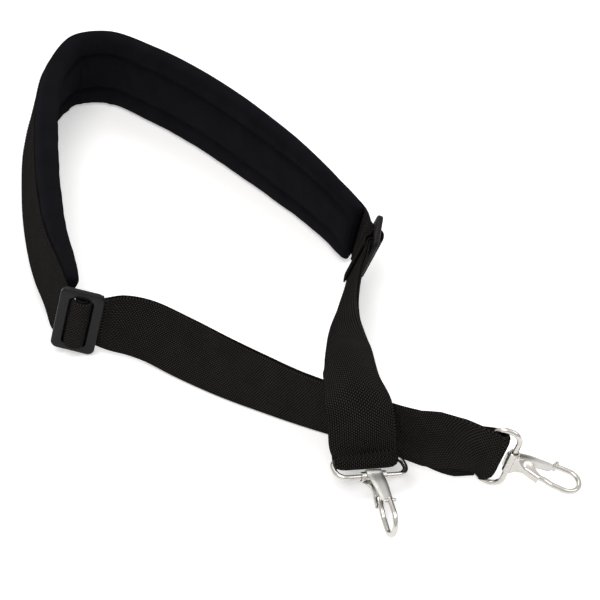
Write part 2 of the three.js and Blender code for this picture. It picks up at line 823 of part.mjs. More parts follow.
const material = (color, roughness, metalness) =>
  new THREE.MeshStandardMaterial({ color, roughness, metalness });
const LINING = material(0x1d1d22, 0.95, 0);
const NYLON = material(0x1f1d1b, 0.8, 0);
const PLASTIC = material(0x3a3a3c, 0.45, 0);
const NICKEL = material(0xc9c6bd, 0.2, 1);
const SPRING_STEEL = material(0xbdbbb4, 0.3, 1);

const strap = new THREE.Group();

function add(name, geometry, surface) {
  const mesh = new THREE.Mesh(geometry, surface);
  mesh.name = name;
  strap.add(mesh);
  return mesh;
}

add("shoulder_pad", shoulderPad(), LINING);
add("webbing_middle", webbingMiddle(), NYLON);
for (const end of ["a", "b"]) {
  add("webbing_" + end + "_outer", webbingOuter(end), NYLON);
  add("webbing_" + end + "_inner", webbingInner(end), NYLON);
  add("adjuster_" + end, placedAdjuster(end), PLASTIC);
  add("ring_" + end, ringGeometry(end), NICKEL);
  const hook = hookMatrix(end);
  add("hook_body_" + end, hookBody().applyMatrix4(hook), NICKEL);
  add("hook_wire_" + end, hookWire().applyMatrix4(hook), NICKEL);
  add("gate_" + end, gate().applyMatrix4(hook), SPRING_STEEL);
}

// The origin is the middle of the strap's footprint, on the surface that it lies on.
const box = new THREE.Box3().setFromObject(strap);
const middle = box.getCenter(new THREE.Vector3());
strap.position.set(-middle.x, -middle.y, -box.min.z);

export default strap;
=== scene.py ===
"""Drum shoulder strap: lined foam pad, woven webbing, moulded adjusters, plated rings and hooks."""

import json
import math

import bpy
import numpy as np
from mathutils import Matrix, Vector


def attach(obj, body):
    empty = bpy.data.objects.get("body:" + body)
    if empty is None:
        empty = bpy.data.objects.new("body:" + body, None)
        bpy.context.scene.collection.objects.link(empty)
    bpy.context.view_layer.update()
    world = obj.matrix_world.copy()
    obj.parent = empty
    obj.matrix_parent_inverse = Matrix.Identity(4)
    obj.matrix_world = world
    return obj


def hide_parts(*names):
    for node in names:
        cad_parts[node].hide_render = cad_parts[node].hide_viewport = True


bl_info = {
    "name": "Drum Shoulder Strap",
    "version": (1, 0, 0),
    "blender": (4, 5, 0),
    "location": "View3D > Sidebar > Strap",
    "description": "Builds the looks of a drum shoulder strap round its packed frame",
    "category": "Object",
}

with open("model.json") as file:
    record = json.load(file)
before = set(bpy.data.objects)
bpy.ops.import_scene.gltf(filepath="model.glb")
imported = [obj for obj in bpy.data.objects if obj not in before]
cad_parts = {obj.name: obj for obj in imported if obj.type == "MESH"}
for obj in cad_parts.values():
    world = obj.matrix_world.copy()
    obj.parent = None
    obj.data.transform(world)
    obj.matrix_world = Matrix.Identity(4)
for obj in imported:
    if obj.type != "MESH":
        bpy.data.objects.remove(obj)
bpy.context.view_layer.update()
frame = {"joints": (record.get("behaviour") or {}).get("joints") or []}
BODY = "strap"
ENDS = ("a", "b")

# ---------- the strap's route, in millimetres ----------

# The webbing along the pad: x, y, lift, lean. x and y place the middle of the webbing's width, lift
# is the height of the pad's lower edge, and lean tips the upper edge towards the outside of the
# loop, in degrees.
PAD_ROUTE = [
    (-144.5, -47, 10, -17),
    (-152.5, -20, 6, -14),
    (-162, 10, 2, -14),
    (-170.6, 52, 0, -15),
    (-176.6, 100, 0, -16),
    (-179.4, 148, 0, -16),
    (-175.8, 194, 0, -14),
    (-159.4, 226.4, 0, -10),
    (-130, 230.6, 0, -5),
    (-95.6, 207.8, 0, -1),
    (-61.6, 176.5, 0, 0),
    (-25, 134.5, 0, 0),
    (8, 93, 0, 1),
    (28, 62, 1, 5),
    (39.5, 38, 3, 13),
]
# The two layers of each end: x, y, z, lean, bow. bow arches the width towards the inside.
END_ROUTES = {
    "a": [
        (-133, -50, 26.5, 4, 0),
        (-118, -51.5, 23, -5, 0),
        (-105, -51, 21, -15, 0),
        (-92, -54, 19, -23, 0),
        (-68, -70, 17.5, -25, 0),
        (-44.5, -88, 18.2, -18, 0),
        (-22, -103.5, 18.9, -10, 0),
        (1, -118, 19.2, -3, 0),
        (30, -133, 19.4, 0, 0),
        (58, -148.5, 20.1, -1, 0),
        (79, -162, 23.9, -5, 0),
        (94, -169, 27, 1, 0),
        (103, -172.5, 27, 3, 0),
        (113, -174.5, 24, 3, 0),
    ],
    "b": [
        (37.5, 17, 25.6, 20, 0),
        (35.5, 3, 23.2, 21, 0),
        (31, -14, 21, 21, 1),
        (27, -35, 22.5, 22, 3),
        (24, -58, 27, 26, 6),
        (23.3, -80, 32.5, 34, 9),
        (24, -99, 40.5, 52, 10.5),
        (26, -113, 47.5, 71, 11),
        (27.9, -125, 50, 80, 11),
        (30, -136, 50.3, 85, 10.5),
        (32.4, -148, 49, 87, 8),
        (34.6, -156, 43, 90, 4.5),
        (35.5, -160.3, 32, 94, 3),
        (35.8, -162.7, 22.5, 97, 2),
        (36.3, -165, 17.6, 99, 0.5),
        (37.2, -168.5, 16.6, 99.5, 0),
        (38.6, -173.2, 16.5, 99.5, 0),
    ],
}
OUTSIDE = {"pad": 1, "a": -1, "b": 1}  # 1 where the loop's outside is on the left of the route
HOOK_SIDE = {"a": 1, "b": -1}  # which of its two ways up each hook lies
SWING = {"a": 0, "b": -6}  # how far each hook hangs off the line of pull, in degrees

# The pad: distance from its nearer end, width, thickness.
PAD_TAPER = [(0, 40, 7.5), (12, 43, 9.5), (40, 49, 11.5), (80, 55, 13), (130, 58.5, 13.5)]

# How the webbing passes an adjuster: along towards the ring, out from the frame's middle plane.
RUNNING_WEAVE = [
    (-9.4, -4.9), (-8, -3.6), (-6.6, -2.1), (-5.6, -0.3), (-5.1, 1.5), (-4.2, 3.3), (-2.4, 4.5),
    (0, 4.8), (2.4, 4.5), (4.4, 3.2), (5.4, 1.1), (6, -1.2), (7.4, -2.7), (9.5, -2.9),
    (14.4, -2.9),
]
RETURN_WEAVE = [
    (14.4, -4.6), (8.5, -4.6), (5.8, -4.1), (4.2, -2.5), (3.5, -0.6), (3.4, 1.1), (2.1, 2.6),
    (0, 2.9), (-2.1, 2.6), (-3.4, 1.1), (-3.4, -0.9), (-2.3, -2.4), (-0.6, -2.9), (1.2, -3.6),
    (3.6, -5.7), (6.5, -6.4), (12, -6.4),
]

# How far the two layers slip past each other across their width, by the distance from the fold.
SLIP_FROM = (3, 10, 18, 32, 50, 90)
SLIP = {"a": (0, 2, 4.5, 4.5, 0.6, 0), "b": (0, 0.5, 0.8, 0.8, 0.6, 0)}

GAP = 0.3  # clearance between two pieces that touch
HALF_LAYER = 0.7  # half the thickness of one layer of webbing
LAYER = 1.9  # between the middles of two stacked layers
FRAME_OUT = LAYER / 2 + 2.9  # from between the layers out to the adjuster's middle
PAD_FACE = -(GAP + HALF_LAYER)  # the pad's outer face, out from the webbing's middle
END_INSET = 3  # how far inside its route's ends the pad stops
SEAM = {"at": 14.5, "share": 0.54, "spread": 2.3}  # share is the most of the pad's half width
WEBBING_SEAM = {"at": 16.4, "out": 0.82}
PAD_EDGE = {"radius": 5.4, "share": 0.46}  # share is the most of the pad's thickness
PINCH = 3.0  # the pad's ends pinch shut over this length
SWELL = 0.175  # how far the foam swells between its seams
ROLL_FROM = 19.5  # from here up and down, the pad's outer face rolls up beside the webbing

# The fold round each ring: clear is from it to the ring's outer bar, and open and closed are how
# far from it the two layers begin and finish coming together.
FOLD = {"radius": 3, "corner": 3.2, "clear": {"a": 3.4, "b": 6.5}, "open": 16, "closed": 62}
LAYERS = {"from_adjuster": 20, "fold_tail": 2.5, "step": 2.2, "pad_step": 3.0}

# The fittings. The wire's points are along and out in the hook's own frame, and curl is in degrees.
RING = {"length": 45.6, "width": 18.5, "wire": 3.3, "corner": 6.6}
ADJUSTER = {
    "length": 49, "width": 27, "thickness": 3.6, "corner": 4.5, "slot": 37.9, "slot_corner": 2.6,
    "limb": 6, "outer_edge": 0.95, "slot_edge": 0.45, "crown": 0.12, "bar": 4.6, "bar_edge": 1.1,
    "bar_root": 1.5,
}
HOOK = {"wire": 3.2, "bend_centre": 33, "bend_radius": 7.8, "sheet": 0.9}
WIRE = {"shank": (12, 15, 20.5), "rise": (25.5, -7), "tip": [(30, 8), (27, 8.1), (23.8, 8.3)]}
HEAD = {"along": 25.6, "out": 8.2, "half": 3.7, "radius": 1.1, "straight": 3.1, "rounding": 0.65}
CHANNEL = {"corner": 1.5, "narrowest": 2.35, "splay": 0.28}
ROLL = {"inner": 2.0, "outer": 3.0, "width": 15, "edge": 0.25}
GATE = {"thickness": 0.8, "curl": (190, 70), "root": 4.6, "edge": 0.25, "tip": 2.4}

# The gate's leaf beyond its curl: along, out, half width.
LEAF = [(9, 4.9, 4.4), (16, 5.5, 3.8), (24.2, 5.75, 3.1)]

# The folds inside the pad's sharp bend: distance along the pad, spread, height.
BEND_FOLDS = [
    (244, 7, 0.6), (259, 6, 0.9), (272, 5, 1.2), (284, 5, 1.3), (296, 5.5, 1.25), (308, 5, 1.15),
    (320, 6, 0.9), (335, 7, 0.6),
]

# The hook's channel: along, back, half width, height of its walls.
BODY_SECTIONS = [
    (1.3, -2.9, 7.4, -1.9),
    (2.5, -3.0, 7.1, -1.6),
    (4.5, -3.4, 5.8, -0.4),
    (7, -4.2, 4.8, 1.3),
    (9.5, -5.1, 4.4, 1.9),
    (12, -6.1, 3.8, 0.8),
    (14.5, -7.1, 3.2, -2.4),
    (17, -8.1, 2.9, -4.3),
]

CM = 0.1  # the cloth's patterns count in centimetres

# The camera is set by degrees, metres and, for its lens and sensor, millimetres.
CAMERA = {"elevation": 38, "distance": 1.5, "lens": 144, "sensor": 36}

# The lights, in metres and watts: name, place, size, power, colour.
LIGHTS = [
    ("key_light", (-0.4, -0.8, 1.9), 1.3, 19, (1.0, 0.985, 0.97)),
    ("fill_light", (1.4, -0.1, 1.4), 1.2, 7, (0.98, 0.985, 1.0)),
    ("back_light", (-0.3, 1.5, 1.8), 1.4, 9, (1.0, 1.0, 1.0)),
]


# ---------- settings a user would change ----------


def length_property(name, description, default, least, most):
    return bpy.props.FloatProperty(
        name=name, description=description, default=default, min=least, max=most,
        subtype="DISTANCE", unit="LENGTH",
    )


def colour_property(name, description, default):
    return bpy.props.FloatVectorProperty(
        name=name, description=description, default=default, min=0.0, max=1.0,
        size=3, subtype="COLOR",
    )


class StrapSizes(bpy.types.PropertyGroup):
    """Sizes of the strap's cloth and sewing."""

    webbing_width: length_property(
        "Webbing Width", "Width of the woven webbing", 0.038, 0.02, 0.06
    )
    webbing_thickness: length_property(
        "Webbing Thickness", "Thickness of one layer of webbing", 0.0014, 0.0008, 0.003
    )
    seam_depth: length_property(
        "Seam Depth", "How deep the sewn seams pull into the pad", 0.0028, 0.0, 0.006
    )
    wrinkle_height: length_property(
        "Wrinkle Height", "Height of the wrinkles inside the pad's bend", 0.0009, 0.0, 0.003
    )
    stitch_length: length_property(
        "Stitch Length", "Length of one stitch", 0.0030, 0.001, 0.008
    )
    thread_thickness: length_property(
        "Thread Thickness", "Thickness of the sewing thread", 0.0005, 0.0002, 0.002
    )


class StrapColours(bpy.types.PropertyGroup):
    """Colours of the strap's finishes."""

    lining: colour_property("Lining", "Knitted lining of the pad", (0.007, 0.0064, 0.0083))
    webbing: colour_property("Webbing", "Woven webbing", (0.0158, 0.0138, 0.0135))
    thread: colour_property("Thread", "Sewing thread", (0.006, 0.0054, 0.0056))
    plastic: colour_property("Plastic", "Moulded adjusters", (0.0052, 0.0048, 0.0053))
    nickel: colour_property("Nickel", "Plating of the rings and hooks", (0.59, 0.57, 0.54))
    spring: colour_property("Spring Steel", "Gates of the hooks", (0.61, 0.60, 0.575))


# ---------- curves and frames ----------


def catmull(points, t, centripetal=True):
    """Points of a Catmull-Rom curve through the given points, at t from 0 to 1."""
    p = np.asarray(points, float)
    x = np.clip(np.asarray(t, float), 0, 1) * (len(p) - 1)
    i = np.minimum(np.floor(x).astype(int), len(p) - 2)
    w = (x - i)[:, None]
    whole = np.vstack([2 * p[0] - p[1], p, 2 * p[-1] - p[-2]])
    p0, p1, p2, p3 = whole[i], whole[i + 1], whole[i + 2], whole[i + 3]
    if centripetal:
        d0, d1, d2 = (
            np.sqrt(np.linalg.norm(b - a, axis=1))[:, None] for a, b in ((p0, p1), (p1, p2), (p2, p3))
        )
        t1 = ((p1 - p0) / d0 - (p2 - p0) / (d0 + d1) + (p2 - p1) / d1) * d1
        t2 = ((p2 - p1) / d1 - (p3 - p1) / (d1 + d2) + (p3 - p2) / d2) * d1
    else:
        t1, t2 = (p2 - p0) / 2, (p3 - p1) / 2
    c2 = -3 * p1 + 3 * p2 - 2 * t1 - t2
    c3 = 2 * p1 - 2 * p2 + t1 + t2
    return p1 + t1 * w + c2 * w**2 + c3 * w**3


def lengths(points):
    """The distance of each point of a line from its start."""
    steps = np.linalg.norm(np.diff(points, axis=0), axis=1)
    return np.concatenate([[0], np.cumsum(steps)])


def arc(centre, radius, start, end, steps):
    """Points of an arc from one angle to another, in degrees."""
    a = np.radians(np.linspace(start, end, steps + 1))
    return np.stack([centre[0] + radius * np.cos(a), centre[1] + radius * np.sin(a)], axis=1)


def unit(v):
    return v / np.linalg.norm(v, axis=-1, keepdims=True)


def column(values):
    return np.asarray(values, float)[:, None]


def taper(from_end):
    """Width and thickness of the pad at a distance from its nearer end."""
    table = np.array(PAD_TAPER, float)
    return [np.interp(from_end, table[:, 0], table[:, k]) for k in (1, 2)]


def standing_height(from_end, lean_degrees):
    """Height of the webbing's middle above the pad's lowest point."""
    width, thickness = taper(from_end)
    corner = 4
    down, in_by = arc((width / 2 - corner, -corner), corner, 90, 0, 2).T
    lean = math.radians(lean_degrees)
    faces = (PAD_FACE - thickness - in_by, PAD_FACE + in_by)
    return np.max([down * math.cos(lean) + out * math.sin(lean) for out in faces])


def standing_rows():
    """The pad's route with its heights worked out from the lift of its lower edge."""
    xy = np.array([row[:2] for row in PAD_ROUTE], float)
    reach = lengths(xy)
    rows = []
    for (x, y, lift, lean), at in zip(PAD_ROUTE, reach):
        from_end = min(at, reach[-1] - at)
        rows.append((x, y, lift + standing_height(from_end, lean), lean, 0))
    return rows


class Route:
    """The middle line of a stretch of strap, with its frame at any distance along it."""

    STEPS = 800

    def __init__(self, rows, outside):
        table = np.array(rows, float)
        self.points = table[:, :3]
        self.twist = table[:, 3:]
        self.outside = outside
        self.t = np.linspace(0, 1, self.STEPS + 1)
        self.reach = lengths(catmull(self.points, self.t))
        self.length = self.reach[-1]

    def at(self, distances):
        """Place, along, wide, out and bow at the distances; straight on beyond both ends."""
        d = np.atleast_1d(np.asarray(distances, float))
        inside = np.clip(d, 0, self.length)
        t = np.interp(inside, self.reach, self.t)
        step = 1e-4
        ahead = catmull(self.points, np.clip(t + step, 0, 1))
        along = unit(ahead - catmull(self.points, np.clip(t - step, 0, 1)))
        lean, bow = catmull(self.twist, t, centripetal=False).T
        lean = column(np.radians(lean))
        level = unit(np.cross([0, 0, 1], along))
        upright = unit(np.cross(along, level))
        outward = level * self.outside
        return {
            "place": catmull(self.points, t) + along * column(d - inside),
            "along": along,
            "wide": upright * np.cos(lean) + outward * np.sin(lean),
            "out": outward * np.cos(lean) - upright * np.sin(lean),
            "bow": np.maximum(bow, 0),
        }


ROUTES = {
    "pad": Route(standing_rows(), OUTSIDE["pad"]),
    "a": Route(END_ROUTES["a"], OUTSIDE["a"]),
    "b": Route(END_ROUTES["b"], OUTSIDE["b"]),
}


def ring_frame(end):
    """The middle of a ring's outer bar, the way the strap pulls, and the bar's direction."""
    route = ROUTES[end]
    beyond = FOLD["clear"][end] + RING["wire"] / 2 + HALF_LAYER
    at = route.at(route.length + beyond)
    return at["place"][0], at["along"][0], at["wide"][0]


def frame_shift():
    """From the route's own millimetres to the frame: hook A's hinge lies on its ring's bar."""
    hinge = next(j for j in frame["joints"] if j["name"] == "hook_a_swing")
    return np.array(hinge["pos_m"]) * 1000 - ring_frame("a")[0]


SHIFT = frame_shift()


def metres(points):
    """The route's millimetres as the frame's metres."""
    return (np.asarray(points, float) + SHIFT) / 1000


def turned(v, axis, degrees):
    """A direction turned about an axis."""
    a = math.radians(degrees)
    return v * math.cos(a) + np.cross(axis, v) * math.sin(a) + axis * (axis @ v) * (1 - math.cos(a))


def hook_axes(end):
    """A hook's own frame: origin, along it, from its shank to its gate, and along the ring's bar."""
    place, reach, bar = ring_frame(end)
    x = turned(reach, bar, SWING[end] * HOOK_SIDE[end])
    y = np.cross(bar, x) * HOOK_SIDE[end]
    return place, x, y, np.cross(x, y)


def in_axes(points, axes):
    """Points of a piece's own frame placed in the route's millimetres."""
    origin, x, y, z = axes
    p = np.asarray(points, float)
    return origin + p[..., 0:1] * x + p[..., 1:2] * y + p[..., 2:3] * z


def adjuster_axes(end):
    """An adjuster's own frame: along the strap, along its width, and out of its face."""
    at = ROUTES[end].at(0)
    along, wide, out = at["along"][0], at["wide"][0], at["out"][0]
    return at["place"][0] + out * FRAME_OUT, along, wide, out


# ---------- meshes ----------


def add_object(name, data):
    obj = bpy.data.objects.new(name, data)
    bpy.context.scene.collection.objects.link(obj)
    return obj


def new_object(name, verts, faces, uvs=None, smooth=True, edges=()):
    """A mesh object from points in metres, with one UV pair for each face corner if given."""
    mesh = bpy.data.meshes.new(name)
    mesh.from_pydata([tuple(v) for v in verts], edges, faces)
    if uvs is not None:
        layer = mesh.uv_layers.new(name="Surface")
        layer.data.foreach_set("uv", np.asarray(uvs, np.float32).ravel())
    mesh.polygons.foreach_set("use_smooth", [smooth] * len(mesh.polygons))
    mesh.validate()
    mesh.update()
    return add_object(name, mesh)


def signed_volume(verts, faces):
    """More than nothing where the faces of a closed shape point outwards."""
    total = 0.0
    v = np.asarray(verts)
    for face in faces:
        a = v[face[0]]
        for i in range(1, len(face) - 1):
            total += a @ np.cross(v[face[i]], v[face[i + 1]])
    return total


class Build:
    """Collects closed sweeps into the points, faces and UVs of one piece."""

    def __init__(self):
        self.verts, self.faces, self.uvs = [], [], []

    def sweep(self, rings, u=None, v=None, loop=False):
        """Adds a solid through rings of points (n, m, 3), closed at its ends unless it loops."""
        rings = np.asarray(rings, float)
        n, m = rings.shape[:2]
        base = len(self.verts)
        verts = rings.reshape(-1, 3)
        u = np.zeros(n + 1) if u is None else np.asarray(u, float)
        v = np.zeros(m + 1) if v is None else np.asarray(v, float)
        faces, uvs = [], []
        for i in range(n if loop else n - 1):
            k = (i + 1) % n
            for j in range(m):
                w = (j + 1) % m
                faces.append((i * m + j, k * m + j, k * m + w, i * m + w))
                uvs.append(((u[i], v[j]), (u[i + 1], v[j]), (u[i + 1], v[j + 1]), (u[i], v[j + 1])))
        if not loop:
            for ring, order in ((0, 1), (n - 1, -1)):
                cap = [ring * m + j for j in range(m)][::order]
                faces.append(tuple(cap))
                uvs.append(tuple((u[ring], v[j]) for j in list(range(m))[::order]))
        if signed_volume(verts, faces) < 0:
            faces = [face[::-1] for face in faces]
            uvs = [uv[::-1] for uv in uvs]
        self.verts.extend(verts)
        self.faces.extend(tuple(base + i for i in face) for face in faces)
        self.uvs.extend(uv for face in uvs for uv in face)
        return self

    def finish(self, name, material, body, replaced, slot, sharp=None):
        """Makes the object, gives it its material and ties it to the frame."""
        obj = new_object(name, metres(self.verts), self.faces, self.uvs)
        obj.data.materials.append(material)
        if sharp is not None:
            obj.data.set_sharp_from_angle(angle=math.radians(sharp))
        join_frame(obj, body, replaced)
        return obj


def join_frame(obj, body, replaced):
    """Ties a finished piece to its body and hides the nodes that it replaces."""
    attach(obj, body)
    if replaced:
        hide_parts(*replaced)


def tube(path, radius, sides, across):
    """Rings of a round wire along a path; across is the direction that no bend leaves."""
    path = np.asarray(path, float)
    along = unit(np.gradient(path, axis=0))
    side = unit(np.cross(along, across))
    radius = np.broadcast_to(np.asarray(radius, float), len(path))
    angle = np.linspace(0, 2 * math.pi, sides, endpoint=False)
    ring = side[:, None] * np.cos(angle)[None, :, None]
    ring = ring + np.asarray(across, float) * np.sin(angle)[None, :, None]
    return path[:, None] + ring * radius[:, None, None]


def rounded_path(half_x, half_y, radius, per_corner, per_side=1):
    """A rounded rectangle as points, with each point's outward direction, anticlockwise."""
    corners = np.array([(1, 1), (-1, 1), (-1, -1), (1, -1)]) * (half_x - radius, half_y - radius)
    points, away = [], []
    for i, centre in enumerate(corners):
        ways = arc((0, 0), 1, 90 * i, 90 * i + 90, per_corner)
        side = np.linspace(centre, corners[(i + 1) % 4], per_side, endpoint=False)[1:]
        points += [centre + radius * ways, side + radius * ways[-1]]
        away += [ways, np.repeat(ways[-1:], len(side), 0)]
    return np.vstack(points), np.vstack(away)


# ---------- shader groups and materials ----------


class Nodes:
    """A short hand for building a node tree."""

    def __init__(self, tree):
        self.tree = tree

    def feed(self, node, inputs):
        """Links or sets a node's inputs, each given by its name or its number."""
        for label, value in dict(inputs).items():
            if isinstance(value, bpy.types.NodeSocket):
                self.tree.links.new(value, node.inputs[label])
            else:
                node.inputs[label].default_value = value

    def add(self, kind, inputs=(), **settings):
        """A new node with these settings and inputs."""
        node = self.tree.nodes.new(kind)
        for key, value in settings.items():
            setattr(node, key, value)
        self.feed(node, inputs)
        return node

    def math(self, operation, *values):
        return self.add("ShaderNodeMath", enumerate(values), operation=operation).outputs[0]

    def times(self, a, b):
        return self.math("MULTIPLY", a, b)

    def plus(self, a, b):
        return self.math("ADD", a, b)

    def arch(self, value):
        """Rises from 0 to 1 and falls back over each whole step of a value."""
        return self.math("SINE", self.times(self.math("FRACT", value), math.pi))

    def split(self, vector):
        return self.add("ShaderNodeSeparateXYZ", {0: vector}).outputs

    def coordinates(self):
        return self.add("ShaderNodeTexCoord").outputs

    def noise(self, vector, scale, detail, rough=0.5):
        inputs = {"Vector": vector, "Scale": scale, "Detail": detail, "Roughness": rough}
        return self.add("ShaderNodeTexNoise", inputs).outputs["Fac"]

    def spread(self, value, low, high, to_low=0.0, to_high=1.0):
        """Carries a value from one range over to another."""
        inputs = enumerate((value, low, high, to_low, to_high))
        return self.add("ShaderNodeMapRange", inputs).outputs[0]

    def mix(self, factor, a, b, blend="MIX"):
        node = self.add("ShaderNodeMix", data_type="RGBA", blend_type=blend)
        self.feed(node, {0: factor, 6: a, 7: b})
        return node.outputs[2]

    def scaled(self, colour, factor):
        grey = self.add("ShaderNodeCombineColor", dict.fromkeys(range(3), factor))
        return self.mix(1.0, colour, grey.outputs[0], "MULTIPLY")

    def bump(self, height, strength, distance):
        inputs = {"Height": height, "Strength": strength, "Distance": distance}
        return self.add("ShaderNodeBump", inputs).outputs["Normal"]

    def group(self, name, **inputs):
        """One of the shader groups, built on its first use."""
        tree = bpy.data.node_groups.get(name) or GROUPS[name]()
        return self.add("ShaderNodeGroup", inputs, node_tree=tree).outputs


def shader_group(name, vector, sizes, results):
    """An empty shader group with its sockets; returns it, its nodes, its inputs and its end."""
    tree = bpy.data.node_groups.new(name, "ShaderNodeTree")
    new_socket = tree.interface.new_socket
    new_socket(name=vector, in_out="INPUT", socket_type="NodeSocketVector")
    for label, value in sizes.items():
        socket = new_socket(name=label, in_out="INPUT", socket_type="NodeSocketFloat")
        socket.default_value = value
    for label in results:
        new_socket(name=label, in_out="OUTPUT", socket_type="NodeSocketFloat")
    n = Nodes(tree)
    return tree, n, n.add("NodeGroupInput").outputs, n.add("NodeGroupOutput")


def weave_group():
    """Warp-faced webbing: long yarns in columns, each offset from the next; Shade is painted shade in
    the grooves and painted highlight on the yarn crowns.
    """
    sizes = {"Columns": 8.4, "Picks": 6.0, "Wander": 0.25}
    tree, n, given, end = shader_group("Webbing Weave", "Surface", sizes, ("Height", "Shade"))
    surface = given["Surface"]
    x, y, _ = n.split(surface)
    wander = n.times(n.spread(n.noise(surface, 1.6, 2.0), 0.0, 1.0, -0.5, 0.5), given["Wander"])
    along = n.plus(n.times(x, given["Picks"]), wander)
    across = n.plus(n.times(y, given["Columns"]), wander)
    offset = n.times(n.math("FLOORED_MODULO", n.math("FLOOR", across), 2.0), 0.5)
    yarn = n.math("POWER", n.arch(across), 0.9)
    lift = n.math("POWER", n.arch(n.plus(along, offset)), 0.9)
    height = n.times(yarn, lift)
    fibre = n.times(n.noise(surface, 42.0, 2.0), 0.25)
    n.feed(end, {"Height": n.plus(height, fibre), "Shade": height})
    return tree


def knit_group():
    """Fine warp-knit lining: small slanted loops in columns; Shade is painted highlight on the loops
    and painted shade between them.
    """
    sizes = {"Columns": 11.0, "Rows": 13.0}
    tree, n, given, end = shader_group("Lining Knit", "Surface", sizes, ("Height", "Shade"))
    x, y, _ = n.split(given["Surface"])
    x = n.times(x, given["Columns"])
    y = n.times(y, given["Rows"])
    fold = n.math("ABSOLUTE", n.math("SUBTRACT", n.math("FRACT", x), 0.5))
    loop = n.arch(n.plus(y, n.times(fold, 1.4)))
    height = n.times(n.math("POWER", loop, 0.7), n.math("POWER", n.arch(x), 0.5))
    n.feed(end, {"Height": height, "Shade": height})
    return tree


def handling_group():
    """Soft blotches and a few pale lint specks, as on cloth that has been handled."""
    sizes = {"Blotch": 60.0, "Lint": 900.0}
    tree, n, given, end = shader_group("Cloth Handling", "Place", sizes, ("Blotches", "Specks"))
    place = given["Place"]
    inputs = {"Vector": place, "Scale": given["Lint"]}
    cells = n.add("ShaderNodeTexVoronoi", inputs, feature="F1")
    near = n.spread(cells.outputs["Distance"], 0.05, 0.16, 1.0, 0.0)
    rare = n.spread(n.noise(place, 230.0, 1.0), 0.66, 0.72)
    blotches = n.noise(place, given["Blotch"], 4.0, 0.6)
    n.feed(end, {"Blotches": blotches, "Specks": n.times(near, rare)})
    return tree


def surface_grain_group():
    """Fine grain and faint rubbing for moulded and plated surfaces."""
    sizes = {"Grain": 1500.0, "Rubbing": 120.0}
    tree, n, given, end = shader_group("Surface Grain", "Place", sizes, ("Height", "Rubbed"))
    place = given["Place"]
    stretched = n.add("ShaderNodeMapping", {"Vector": place, "Scale": (1.0, 0.25, 3.0)}).outputs[0]
    rub = n.noise(stretched, given["Rubbing"], 5.0, 0.65)
    height = n.noise(place, given["Grain"], 2.0)
    n.feed(end, {"Height": height, "Rubbed": n.spread(rub, 0.45, 0.75)})
    return tree


GROUPS = {
    "Webbing Weave": weave_group,
    "Lining Knit": knit_group,
    "Cloth Handling": handling_group,
    "Surface Grain": surface_grain_group,
}


def own_colour(finish):
    """A finish's colour setting, opaque."""
    return (*getattr(bpy.context.scene.strap_colours, finish), 1.0)


def webbing_looks(n):
    coords = n.coordinates()
    weave = n.group("Webbing Weave", Surface=coords["UV"])
    cloth = n.group("Cloth Handling", Place=coords["Object"])
    # The weave's Shade darkens the colour in the grooves as painted shade and lifts it on the yarn
    # crowns as painted highlight.
    shade = n.spread(weave["Shade"], 0.1, 0.95, 0.1, 2.35)
    tone = n.spread(cloth["Blotches"], 0.3, 0.7, 0.88, 1.12)
    woven_and_shaded = n.scaled(own_colour("webbing"), n.times(shade, tone))
    return {
        "Base Color": n.mix(n.times(cloth["Specks"], 0.35), woven_and_shaded, (0.03, 0.029, 0.028, 1)),
        "Roughness": n.spread(weave["Shade"], 0.0, 1.0, 0.8, 0.42),
        "Specular IOR Level": 0.0,
        "Sheen Weight": 0.012,
        "Sheen Roughness": 0.4,
        "Normal": n.bump(weave["Height"], 1.0, 0.0005),
    }


def lining_looks(n):
    coords = n.coordinates()
    knit = n.group("Lining Knit", Surface=coords["UV"])
    cloth = n.group("Cloth Handling", Place=coords["Object"])
    # The knit's Shade lifts the colour on the loops as painted highlight and darkens it between them as
    # painted shade.
    shade = n.spread(knit["Shade"], 0.0, 1.0, 0.6, 1.3)
    tone = n.spread(cloth["Blotches"], 0.3, 0.7, 0.85, 1.2)
    knitted_and_shaded = n.scaled(own_colour("lining"), n.times(shade, tone))
    return {
        "Base Color": n.mix(n.times(cloth["Specks"], 0.3), knitted_and_shaded, (0.016, 0.016, 0.018, 1)),
        "Roughness": n.spread(cloth["Blotches"], 0.3, 0.7, 0.98, 0.86),
        "Specular IOR Level": 0.0,
        "Sheen Weight": 0.016,
        "Sheen Roughness": 0.6,
        "Sheen Tint": (0.8, 0.85, 1.0, 1.0),
        "Normal": n.bump(knit["Height"], 0.55, 0.0003),
    }


def thread_looks(n):
    inputs = {"Vector": n.coordinates()["Object"], "Scale": 1400.0}
    twist = n.add("ShaderNodeTexWave", inputs, wave_type="BANDS", bands_direction="DIAGONAL")
    ply = twist.outputs["Fac"]
    return {
        "Base Color": n.scaled(own_colour("thread"), n.spread(ply, 0, 1, 0.6, 1.4)),
        "Roughness": n.spread(ply, 0, 1, 0.75, 0.55),
        "Specular IOR Level": 0.08,
        "Normal": n.bump(ply, 0.4, 0.0001),
    }


def plastic_looks(n):
    colour = own_colour("plastic")
    grain = n.group("Surface Grain", Place=n.coordinates()["Object"])
    return {
        "Base Color": n.mix(n.times(grain["Rubbed"], 0.5), colour, n.scaled(colour, 1.9)),
        "Roughness": n.spread(grain["Rubbed"], 0.0, 1.0, 0.36, 0.52),
        "Specular IOR Level": 0.16,
        "Normal": n.bump(grain["Height"], 0.18, 0.00012),
    }


